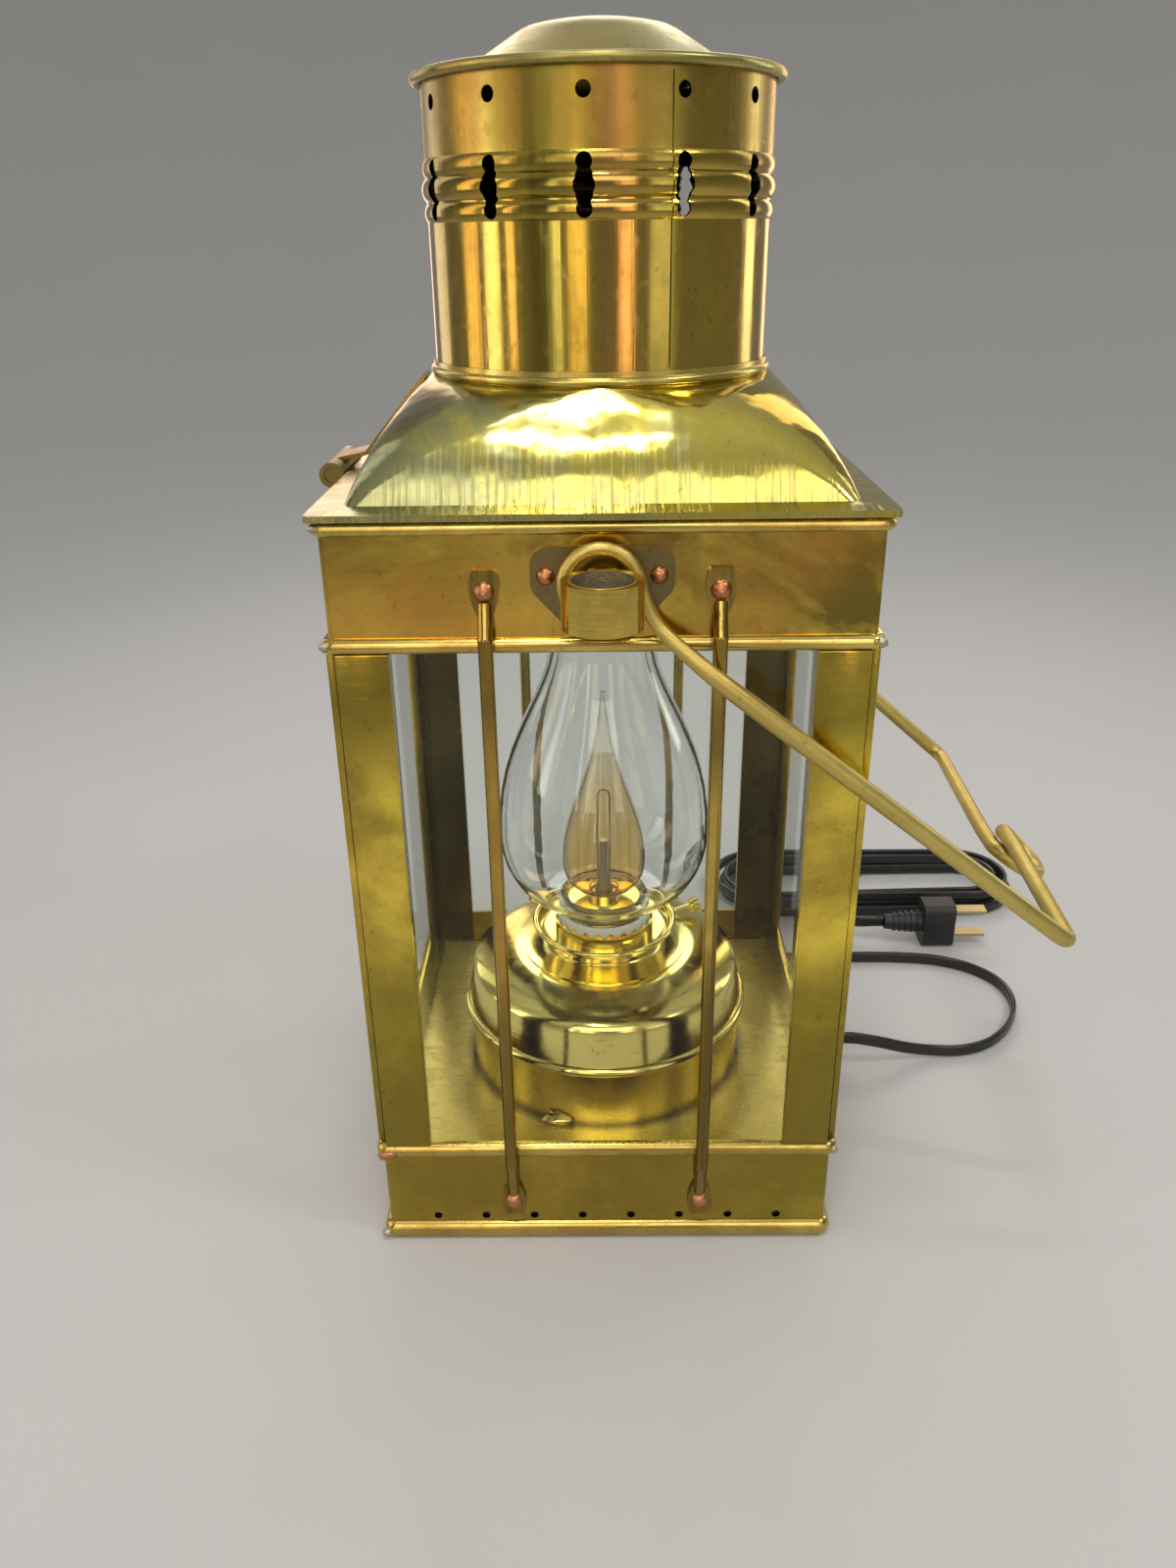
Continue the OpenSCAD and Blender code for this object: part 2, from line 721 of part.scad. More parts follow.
// Bail: one wire. u runs out along the arms, w across the bail's plane, y from front to rear
eye_tail = 340;
eye_neck = 60;
neck_end = 24;
taper_end = 50;
eye_steps = 19;
function bail_world(p) = let (
    far = ease((p[0] - taper_end) / (bail_arm - taper_end)),
    rear = p[2] / arm_y,
    u = p[0] + bail_skew / 2 * rear * far,
    w = p[1] - bail_twist * (1 + rear) / 2 * far)
  [u * cos(bail_droop) + w * sin(bail_droop), p[2], pivot_z - u * sin(bail_droop) + w * cos(bail_droop)];
function bail_depth(u) = -(eye_y + (arm_y - eye_y) * ease((u - 14) / 28));
function bail_half() = let (
    middle = [-eye_back, 0],
    leave = middle + eye_r * [cos(eye_neck), sin(eye_neck)],
    turn = [sin(eye_neck), -cos(eye_neck)],
    eye = arc(middle, eye_r, eye_tail, eye_neck, eye_steps),
    neck = bezier(leave, leave + 5 * turn, [neck_end - 10, 0], [neck_end, 0], 6),
    bend = arc([bail_arm - bail_bend, bail_bend - arm_y], bail_bend, -90, 0, 5))
  concat(
    [for (p = eye) [p[0], p[1], -eye_y]],
    [for (i = [1:6]) [neck[i][0], neck[i][1], bail_depth(neck[i][0])]],
    [for (u = [30, 36, 43, 52, 90]) [u, 0, bail_depth(u)]],
    [for (p = bend) [p[0], 0, p[1]]]);
function bail_loop() = concat(
  [[bail_arm, loop_step / 2, loop_y - 1.6 * loop_r]],
  [for (i = [0:24]) let (a = 15 * i)
    [bail_arm + loop_r * (1 - cos(a)), loop_step * (0.5 - i / 24), loop_y + loop_r * sin(a)]],
  [[bail_arm, -loop_step / 2, loop_y + 1.6 * loop_r]]);
function bail_path() = let (front = bail_half())
  concat(front, bail_loop(), [for (p = reversed(front)) [p[0], p[1], -p[2]]]);

module bail() color(wire_brass) {
  path = bail_path();
  wire = [for (p = path)
    (eye_wire + (bail_wire - eye_wire) * ease((p[0] - eye_r) / (taper_end - eye_r))) / 2];
  tube([for (p = path) bail_world(p)], wire, wire, [0, 1, 0], bail_sides);
}

// Roof: square at the eave, swelling up to the round drum
function roof_line(t) = let (
    foot = [crease, crease_z],
    top = [roof_edge, roof_top],
    run = top - foot,
    out = unit([run[1], -run[0]]))
  foot + t * run + 4 * roof_bulge * t * (1 - t) * out;
function roof_corner(t) = crease_r + (roof_edge - 0.4 - crease_r) * pow(t, 1.3);
function square_loop(w, r, z) =
  [for (k = [0:3], j = [0 : ring_steps])
    let (a = 90 * k + 90 * j / ring_steps, s = [[1, 1], [-1, 1], [-1, -1], [1, -1]][k] * (w - r))
    [s[0] + r * cos(a), s[1] + r * sin(a), z]];

module roof() color(brass) {
  ts = [for (i = [0 : profile_steps]) i / profile_steps];
  outer = [for (t = ts) roof_line(t)];
  inner = beside(outer, sheet);
  last = len(outer) - 1;
  hem_r = 1.5;
  loops = concat(
    [square_loop(eave, hem_r, lid_low), square_loop(eave, hem_r, lid_low + eave_t)],
    [for (i = [0 : last]) square_loop(outer[i][0], roof_corner(ts[i]), outer[i][1])],
    [square_loop(roof_hole, roof_corner(1) - roof_edge + roof_hole, roof_top)],
    [for (i = [last - 1 : -1 : 0])
      square_loop(inner[i][0], roof_corner(ts[i]) - outer[i][0] + inner[i][0], inner[i][1])],
    [square_loop(eave - hem_w, hem_r, lid_low + eave_t - sheet), square_loop(eave - hem_w, hem_r, lid_low)]);
  count = len(loops[0]);
  rows = len(loops);
  points = [for (l = loops) each l];
  faces = [for (i = [0 : rows - 1], k = [0 : count - 1])
    let (a = i * count + k, b = i * count + (k + 1) % count,
         c = ((i + 1) % rows) * count + k, d = ((i + 1) % rows) * count + (k + 1) % count)
    each [[a, c, b], [b, c, d]]];
  polyhedron(points, faces);
}

// Collar around the drum's foot, standing on the roof's edge
module drum_collar() color(brass) translate([0, 0, roof_top]) rotate_extrude()
  translate([drum_r + hole_fit, 0]) {
    square([collar_t, collar_h]);
    intersection() {
      translate([collar_t / 2, collar_roll_d / 2]) circle(d = collar_roll_d);
      square([collar_roll_d, collar_roll_d]);
    }
  }

// Drum profile: a straight wall with three pressed-out beads
function drum_beads() = [
  [roof_top + keyhole_up - keyhole_half - 0.2, 0.8, 4.8],
  [roof_top + keyhole_up + 0.3, 1.3, 6.2],
  [roof_top + keyhole_up + keyhole_half + 0.3, 0.8, 4.8]];

module drum_profile(low, high) difference() {
  union() {
    translate([0, low]) square([drum_r, high - low]);
    for (b = drum_beads()) drum_bead(b, 0);
  }
  union() {
    translate([0, low - cut]) square([drum_r - drum_t, high - low + 2 * cut]);
    for (b = drum_beads()) drum_bead(b, drum_t);
  }
}

module drum_bead(b, inside) {
  r = (b[2] * b[2] / 4 + b[1] * b[1]) / (2 * b[1]);
  translate([drum_r + b[1] - r, b[0]]) circle(r - inside);
}

module vent_drum() color(brass) difference() {
  union() {
    rotate_extrude($fn = 96) drum_profile(drum_foot, drum_top);
    rotate(seam_angle - 90) rotate_extrude(angle = seam_sweep)
      translate([seam_out, 0]) drum_profile(roof_top + collar_h + cut, drum_top - cap_roll_d);
  }
  for (i = [0 : keyhole_count - 1]) rotate(keyhole_turn + 360 * i / keyhole_count) {
    keyhole();
    drum_hole(porthole_up, porthole_d);
  }
}

// Keyhole: two round ends, a wide middle, and smaller rounds that ease the middle into the two necks
module keyhole() {
  drum_hole(keyhole_up, keyhole_mid_w);
  for (s = [-1, 1]) {
    drum_hole(keyhole_up + s * keyhole_half, keyhole_d);
    drum_hole(keyhole_up + s * keyhole_half * 0.41, keyhole_mid_w * 0.79);
  }
  translate([-keyhole_neck_w / 2, -drum_r - 4, roof_top + keyhole_up - keyhole_half])
    cube([keyhole_neck_w, 8, 2 * keyhole_half]);
}

module drum_hole(up, d) {
  translate([0, -drum_r, roof_top + up]) rotate([90, 0, 0]) cylinder(d = d, h = 8, center = true);
}

// Cap: a low crown with a rolled rim, lying on the drum's edge
function cap_line() = let (
    z = drum_top + sheet,
    r = shoulder_d / 2,
    top_r = (r * r + crown_rise * crown_rise) / (2 * crown_rise),
    tilt = asin(r / top_r),
    crown = arc([0, z + shoulder_h + crown_rise - top_r], top_r, 90, 90 - tilt, 8))
  concat(
    [for (i = [0:7]) crown[i]],
    bezier(crown[8], [r + 2.2, z + shoulder_h - 0.9], [r + 3.4, z + shoulder_h - 1.6],
           [r + 4.6, z + shoulder_h - 2.4], 3),
    [[crown_d / 2, z], [cap_r - cap_roll_d / 2, z]]);

module vent_cap() color(dull_brass) {
  spun(reversed(cap_line()), sheet);
  rotate_extrude()
    translate([cap_r - cap_roll_d / 2, drum_top + sheet - cap_roll_d / 2]) circle(d = cap_roll_d);
}

// Hinge: a leaf on the frieze, a pin, and a strap up the roof's left slope
module knuckle(from, length, bore) translate([hinge_x, from, hinge_z]) rotate([-90, 0, 0])
  difference() {
    cylinder(r = knuckle_r, h = length);
    translate([0, 0, -cut]) cylinder(d = bore, h = length + 2 * cut);
  }

module side_slab(line, t, w) rotate([90, 0, 0]) linear_extrude(w, center = true)
  polygon(concat(line, reversed(beside(line, t))));

module hinge_leaf() color(dull_brass) {
  bend_z = top_z - top_bead_h / 2 - 1;
  line = [[-half, bend_z - 4 - leaf_h], [-half, bend_z - 4], [hinge_x + knuckle_r, bend_z],
          [hinge_x + knuckle_r, hinge_z]];
  difference() {
    side_slab(line, hinge_t, hinge_w);
    translate([hinge_x - 2 * knuckle_r, -strap_w / 2 - knuckle_gap, bend_z - 4])
      cube([half, strap_w + 2 * knuckle_gap, leaf_h]);
    pin_room();
  }
  for (s = [-1, 1])
    knuckle(s > 0 ? hinge_w / 2 - side_knuckle : -hinge_w / 2, side_knuckle, pin_d + 2 * hole_fit);
}

module pin_room() translate([hinge_x, 0, hinge_z]) rotate([90, 0, 0])
  cylinder(d = pin_d + 2 * hole_fit, h = hinge_w + 2, center = true);

module hinge_pin() color(dull_brass) translate([hinge_x, 0, hinge_z]) rotate([90, 0, 0])
  cylinder(d = pin_d, h = hinge_w - 1, center = true);

module hinge_strap() color(dull_brass) {
  touch = roof_line(0.7);
  tip = roof_line(0.93);
  out = unit([roof_h, crease - roof_edge]) * strap_lift;
  line = [[hinge_x, hinge_z + knuckle_r - hinge_t], [-crease - 3.5, crease_z + 3.2],
          [-touch[0] - out[0], touch[1] + out[1] + strap_lift], [-tip[0] - out[0], tip[1] + out[1] + strap_lift]];
  difference() {
    side_slab(line, hinge_t, strap_w);
    pin_room();
  }
  knuckle(-strap_w / 2, strap_w, pin_d + 2 * hole_fit);
}

// Lamp font: a drum on the floor under a domed shoulder
module font_drum() color(brass) translate([0, 0, floor_z]) difference() {
  cylinder(d = font_d, h = font_h);
  translate([0, 0, -cut]) cylinder(d = font_d - 2 * font_t, h = font_h + 2 * cut);
}

function font_line() = let (
    low = [font_r + 0.6, bead_z + font_bead_d / 2 - 0.4],
    high = [font_r - 1.6, low[1] + band_h],
    flat = [crown_flat_d / 2, lamp_crown])
  concat([low], bezier(high, high + [-0.6, 3.2], flat + [9, -1.6], flat, 8), [[burner_neck_d / 2 + 1, lamp_crown]]);

module font_dome() color(brass) {
  spun(font_line(), font_t);
  rotate_extrude() translate([font_r + font_bead_d / 2 - 1.5, bead_z]) circle(d = font_bead_d);
}

// Burner: coved collar, gallery cup with a ring of scalloped prongs
module burner_collar() color(brass) difference() {
  rotate_extrude() {
    foot = burner_foot_d / 2;
    neck = burner_neck_d / 2;
    rim = 1.6;
    polygon(concat(
      [[seat_bore / 2 + 3, lamp_crown], [foot, lamp_crown]],
      bezier([foot, lamp_crown + 0.6], [foot - 4, lamp_crown + 0.8], [neck, gallery_z - rim - 1],
             [neck, gallery_z - rim], 6),
      [[neck + 0.6, gallery_z - rim], [neck + 0.6, gallery_z], [seat_bore / 2 + 3, gallery_z]]));
  }
  along_knob(bush_start - 6, bush_end + 6, bush_d + 2 * hole_fit);
}

module along_knob(from, to, d) rotate(knob_turn) translate([from, 0, knob_z]) rotate([0, 90, 0])
  cylinder(d = d, h = to - from);

function gallery_line() = let (
    foot = burner_neck_d / 2,
    lip = [gallery_d / 2 - 0.8, gallery_h])
  concat([[seat_bore / 2 + 1, 0]], bezier([foot - 1, 0], [foot + 1.6, 0], [lip[0], 1.6], lip, 6));

module burner_gallery() color(brass) translate([0, 0, gallery_z]) {
  spun(gallery_line(), sheet);
  rotate_extrude() translate([gallery_d / 2 - 0.8, gallery_h]) circle(d = 1.6);
  difference() {
    difference() {
      translate([0, 0, sheet / 2]) cylinder(d = prong_d, h = prong_h);
      cylinder(d = prong_d - 1.2, h = 2 * prong_h);
    }
    for (i = [0 : prong_count - 1]) rotate(360 * i / prong_count)
      translate([0, -prong_d / 2, prong_h + sheet / 2 + 0.4]) rotate([90, 0, 0])
        cylinder(d = 0.8 * PI * prong_d / prong_count, h = 6, center = true);
  }
}

module knob_bush() color(brass) difference() {
  along_knob(bush_start, bush_end, bush_d);
  along_knob(bush_start - cut, bush_end + cut, stem_d + 2 * hole_fit);
}

module wick_knob() color(brass) {
  along_knob(bush_start + 1, knob_reach, stem_d);
  along_knob(bush_end + 1, bush_end + 2.5, stem_d + 1.2);
  difference() {
    along_knob(knob_reach - knob_len, knob_reach, knob_d);
    rotate(knob_turn) translate([knob_reach, 0, knob_z]) for (i = [0:11]) rotate([30 * i, 0, 0])
      translate([0, 0, knob_d / 2]) rotate([0, 90, 0]) cylinder(d = 0.7, h = 2 * knob_len, center = true);
  }
}

// White seat ring, chimney glass, socket and bulb
module seat_ring() color("white") translate([0, 0, seat_z]) difference() {
  cylinder(d = seat_d, h = seat_h);
  translate([0, 0, -cut]) cylinder(d = seat_bore, h = seat_h + 2 * cut);
}

module glass_chimney() color(clear_glass) translate([0, 0, chimney_z]) {
  foot = chimney_foot_d / 2;
  belly = belly_d / 2;
  neck = neck_d / 2;
  top = chimney_top_d / 2;
  spun(concat(
    [[foot, 0], [foot, 3]],
    bezier([foot, 5.5], [foot + 10, 5.8], [belly, belly_up - 18], [belly, belly_up], 10),
    [for (i = [1:12]) bezier([belly, belly_up], [belly, belly_up + 38], [neck, neck_up - 22], [neck, neck_up], 12)[i]],
    [for (i = [1:6]) bezier([neck, neck_up], [neck, neck_up + 14], [top - 1, chimney_h - 14], [top, chimney_h], 6)[i]]),
    chimney_t);
}

module lamp_socket() color(dull_brass) translate([0, 0, seat_z]) difference() {
  cylinder(d = socket_d, h = socket_h);
  translate([0, 0, 3]) cylinder(d = bulb_base_d + 2 * hole_fit, h = socket_h);
}

module bulb_base() color(brass) translate([0, 0, seat_z + 3])
  cylinder(d = bulb_base_d, h = socket_h - 1);

module bulb_glass() color(clear_glass) translate([0, 0, seat_z + socket_h + 2]) {
  r = bulb_d / 2;
  foot = bulb_base_d / 2;
  spun(concat(
    [[foot, 0]],
    bezier([foot, 1], [foot + 4, 2], [r, 5], [r, 14], 8),
    [for (i = [1:14])
      bezier([r, 14], [r, 0.45 * bulb_h], [3.4, 0.55 * bulb_h], [0.6, bulb_h], 14)[i]],
    [[0, bulb_h + 0.4]]), bulb_t);
}

module bulb_filament() color("silver") translate([0, 0, seat_z + socket_h + 2]) {
  cylinder(d1 = 7, d2 = 3, h = 8);
  translate([0, 0, 8]) cylinder(d = 3, h = 14);
  for (s = [-1, 1]) translate([2.2 * s, 0, 6]) cylinder(d = 0.8, h = 34, $fn = 16);
  translate([0, 0, 40]) rotate([90, 0, 0]) rotate_extrude(angle = 180, $fn = 24)
    translate([2.2, 0]) circle(d = 0.8, $fn = 16);
}

module lamp_nipple() color(brass) translate([0, 0, nipple_low])
  cylinder(d = nipple_d, h = seat_z - nipple_low);

// Cord inside the base, from the tube under the lamp to the bushing
module inner_lead() color(black)
  tube(through(concat([[half - sheet - 2, exit_y, exit_z], [66, exit_y, exit_z]], inner_route,
                      [[0, 0, nipple_low - 3], [0, 0, nipple_low]]), 2),
       [for (i = [0:18]) cord_t / 2], [for (i = [0:18]) cord_w / 2], [0, 1, 0], 8);

// Rubber bushing in the right side of the base, with a tapered nose
module cord_bushing() color(black) translate([half, exit_y, exit_z]) rotate([0, 90, 0]) {
  flange = bush_hole_d() + 3;
  translate([0, 0, -sheet - 2]) cylinder(d = flange, h = 2);
  translate([0, 0, -sheet - 1]) cylinder(d = bush_hole_d(), h = sheet + 2);
  cylinder(d = flange, h = 2);
  translate([0, 0, 2]) cylinder(d1 = bush_hole_d(), d2 = cord_w + 1.4, h = nose_len);
}

// Free cord: from the bushing round to the hank
module cord_lead() color(black) {
  route = concat(
    [[nose_x, exit_y, exit_z], [nose_x + 4, exit_y, exit_z]],
    lead_route,
    [[hank_start[0] - 14, hank_start[1], hank_z], [hank_start[0] - 7, hank_start[1], hank_z],
     [hank_start[0], hank_start[1], hank_z]]);
  cord_tube(through(route, 3), 8);
}

// Hank: long loops that spiral in on the table, climb one layer, and spiral out on top
hank_steps = 24;
hank_in = 1.75;
hank_climb = 0.5;
hank_turns = 2 * hank_in + hank_climb;
hank_straight = 2 / hank_steps;
function hank_radius(turn) = let (
    inward = max(0, min(hank_in - hank_straight, turn - hank_straight)),
    outward = max(0, min(hank_in - hank_straight, turn - hank_in - hank_climb)))
  hank_r - hank_pitch * (inward - outward);
function hank_height(turn) = hank_z + layer_rise * ease((turn - hank_in) / hank_climb);
function hank_point(k) = let (
    turn = k / hank_steps,
    r = hank_radius(turn),
    m = k % hank_steps,
    x1 = hank_start[0],
    x2 = x1 + hank_run,
    yc = hank_start[1] + hank_r,
    flat = m < 4 ? [x1 + hank_run * m / 4, yc - r]
      : m < 12 ? [x2, yc] + r * [sin(22.5 * (m - 4)), -cos(22.5 * (m - 4))]
      : m < 16 ? [x2 - hank_run * (m - 12) / 4, yc + r]
      : [x1, yc] + r * [-sin(22.5 * (m - 16)), cos(22.5 * (m - 16))])
  [flat[0], flat[1], hank_height(turn)];
hank_path = [for (k = [0 : hank_turns * hank_steps]) hank_point(k)];

// Room between two stretches of flat cord standing on edge: sideways or upwards, whichever is more
function flat_of(p) = [p[0], p[1]];
function room(p, a, b) = let (
    run = flat_of(b) - flat_of(a),
    t = max(0, min(1, (flat_of(p) - flat_of(a)) * run / (run * run))),
    near = a + t * (b - a))
  max(norm(flat_of(p - near)) - cord_t, abs(p[2] - near[2]) - cord_w);
hank_room = min([for (i = [0 : len(hank_path) - 1], j = [i + 12 : len(hank_path) - 2])
  room(hank_path[i], hank_path[j], hank_path[j + 1])]);

module cord_hank() color(black) {
  echo(least_gap_in_hank = hank_room);
  cord_tube(hank_path, 6);
}

// Tie: a thin band around all the strands in the middle of the hank's rear run
module hank_tie() color(black) {
  low = hank_start[1] + hank_r + hank_radius(hank_in) - cord_t / 2 - tie_room;
  high = hank_start[1] + 2 * hank_r + cord_t / 2 + tie_room;
  inside = [tie_w + 2, high - low, 2 * cord_w + layer_gap + 2 * tie_room];
  translate([hank_start[0] + hank_run / 2, (low + high) / 2, hank_z + layer_rise / 2]) difference() {
    cube([tie_w, inside[1] + 2 * tie_t, inside[2] + 2 * tie_t], center = true);
    cube(inside, center = true);
  }
}

// Short tail from the hank's upper layer to the plug
module cord_tail() color(black) {
  from = hank_path[len(hank_path) - 1];
  route = [from, from + [6, 0, 0], [100, 134.5, 8.6], [112, 125.5, 8.4], [124, 116.5, 9.6],
           plug_start - [5, 0, 0], plug_start];
  cord_tube(through(route, 3), 8);
}

// Two-blade plug standing on its narrow edge, with a ribbed neck
module plug_body() color(black) translate(plug_start) {
  neck = plug_neck;
  ribs = 5;
  r = 3;
  rotate([0, 90, 0]) cylinder(d1 = cord_w + 2.2, d2 = 10, h = neck);
  for (i = [0 : ribs - 1]) translate([4 + 2.8 * i, 0, 0]) rotate([0, 90, 0])
    cylinder(d = 9.4 + 0.5 * i, h = 1.4);
  translate([neck, 0, 0]) rotate([0, 90, 0]) linear_extrude(plug_len) {
    square([plug_w, plug_t - 2 * r], center = true);
    square([plug_w - 2 * r, plug_t], center = true);
    for (x = [-1, 1], y = [-1, 1])
      translate([x * (plug_w / 2 - r), y * (plug_t / 2 - r)]) circle(r, $fn = 32);
  }
}

module plug_blades() color(brass) for (s = [-1, 1])
  translate(plug_start + [plug_neck + plug_len, -blade_w / 2, s * blade_gap / 2 - blade_t / 2])
    cube([blade_len, blade_w, blade_t]);

base_skirt();
base_bead();
sill_bead();
floor_plate();
corner_post_front_left();
corner_post_front_right();
corner_post_rear_left();
corner_post_rear_right();
strips_front();
strips_right();
strips_rear();
strips_left();
glass_front();
glass_right();
glass_rear();
glass_left();
frieze();
frieze_bead();
top_bead();
guard_rods_front();
guard_rods_right();
guard_rods_rear();
guard_rods_left();
guard_rivets();
lug_plate_front();
lug_plate_rear();
lug_barrel_front();
lug_barrel_rear();
lug_rivets();
hinge_leaf();
hinge_pin();
hinge_strap();
roof();
drum_collar();
vent_drum();
vent_cap();
bail();
font_drum();
font_dome();
burner_collar();
burner_gallery();
knob_bush();
wick_knob();
seat_ring();
glass_chimney();
lamp_socket();
bulb_base();
bulb_glass();
bulb_filament();
lamp_nipple();
inner_lead();
cord_bushing();
cord_lead();
cord_hank();
hank_tie();
cord_tail();
plug_body();
plug_blades();
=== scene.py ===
import math

import bpy
from mathutils import Matrix, Vector, noise


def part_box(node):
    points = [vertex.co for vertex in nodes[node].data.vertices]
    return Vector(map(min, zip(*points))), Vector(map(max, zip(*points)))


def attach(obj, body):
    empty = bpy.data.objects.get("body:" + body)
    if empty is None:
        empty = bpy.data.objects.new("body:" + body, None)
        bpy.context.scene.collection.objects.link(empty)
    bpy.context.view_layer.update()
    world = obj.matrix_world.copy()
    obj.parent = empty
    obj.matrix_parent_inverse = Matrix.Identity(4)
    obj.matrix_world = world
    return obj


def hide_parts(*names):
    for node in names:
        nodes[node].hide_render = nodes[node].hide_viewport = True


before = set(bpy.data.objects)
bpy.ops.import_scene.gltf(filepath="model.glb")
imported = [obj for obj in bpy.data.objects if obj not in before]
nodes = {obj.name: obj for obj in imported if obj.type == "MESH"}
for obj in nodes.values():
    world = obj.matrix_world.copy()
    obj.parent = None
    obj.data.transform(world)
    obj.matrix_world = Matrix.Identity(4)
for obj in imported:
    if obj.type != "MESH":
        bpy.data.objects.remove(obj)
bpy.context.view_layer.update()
scene = bpy.context.scene
scene.view_settings.view_transform = "Standard"
MM = 0.001
SIDES = ("front", "right", "rear", "left")


# Corners and middle of a CAD node's box, in millimetres
def lowest(node):
    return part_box(node)[0] / MM


def highest(node):
    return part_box(node)[1] / MM


def middle(node):
    return (lowest(node) + highest(node)) / 2


# Sizes of the part, in millimetres
HALF = highest("frieze").x
BASE_Z = middle("base_bead").z
SILL_Z = middle("sill_bead").z
FRIEZE_Z = middle("frieze_bead").z
TOP_Z = middle("top_bead").z
BARREL_WALL = 2.5
BARREL_R = highest("lug_barrel_rear").x
BARREL_Y = highest("lug_barrel_rear").y - BARREL_R
BORE_R = BARREL_R - BARREL_WALL
FONT_R = highest("font_drum").x
FLOOR_TOP = highest("floor_plate").z
ROOF_LOW = lowest("roof").z
BULB_LOW = lowest("bulb_glass").z
CORD_T = 2.6
CORD_W = 5.2

# Heights in millimetres: where the drum turns matt, and how far up the bulb the painted amber reflection of
# the brass below goes
MATT_Z = 338
BULB_REFLECTION_H = 58

# Camera fitted to the photograph: pixels, degrees, and its place in metres
FOCAL_PX = 1215.31
PHOTO_HIGH_PX = 1600
PITCH = math.radians(24.943)
ROLL = math.radians(-0.762)
YAW = math.radians(0.657)
EYE = (-0.000998, -0.390183, 0.321371)
SENSOR_MM = 36


def make_camera():
    upright = Vector((0, 0, 1))
    ahead = Vector((-math.sin(YAW), math.cos(YAW), 0))
    right = Vector((math.cos(YAW), math.sin(YAW), 0))
    forward = math.cos(PITCH) * ahead - math.sin(PITCH) * upright
    up = math.sin(PITCH) * ahead + math.cos(PITCH) * upright
    right_rolled = math.cos(ROLL) * right + math.sin(ROLL) * up
    up_rolled = math.cos(ROLL) * up - math.sin(ROLL) * right
    data = bpy.data.cameras.new("camera")
    data.sensor_fit = "VERTICAL"
    data.sensor_height = SENSOR_MM
    data.lens = FOCAL_PX * SENSOR_MM / PHOTO_HIGH_PX
    data.clip_start = 0.01
    camera = bpy.data.objects.new("camera", data)
    turn = Matrix((right_rolled, up_rolled, -forward)).transposed().to_4x4()
    camera.matrix_world = Matrix.Translation(EYE) @ turn
    scene.collection.objects.link(camera)
    scene.camera = camera


make_camera()


# Node helpers
def set_stops(ramp, stops):
    while len(ramp.elements) < len(stops):
        ramp.elements.new(0.5)
    for element, (at, value) in zip(ramp.elements, stops):
        colour = value if isinstance(value, tuple) else (value, value, value)
        element.position = at
        element.color = (*colour, 1)


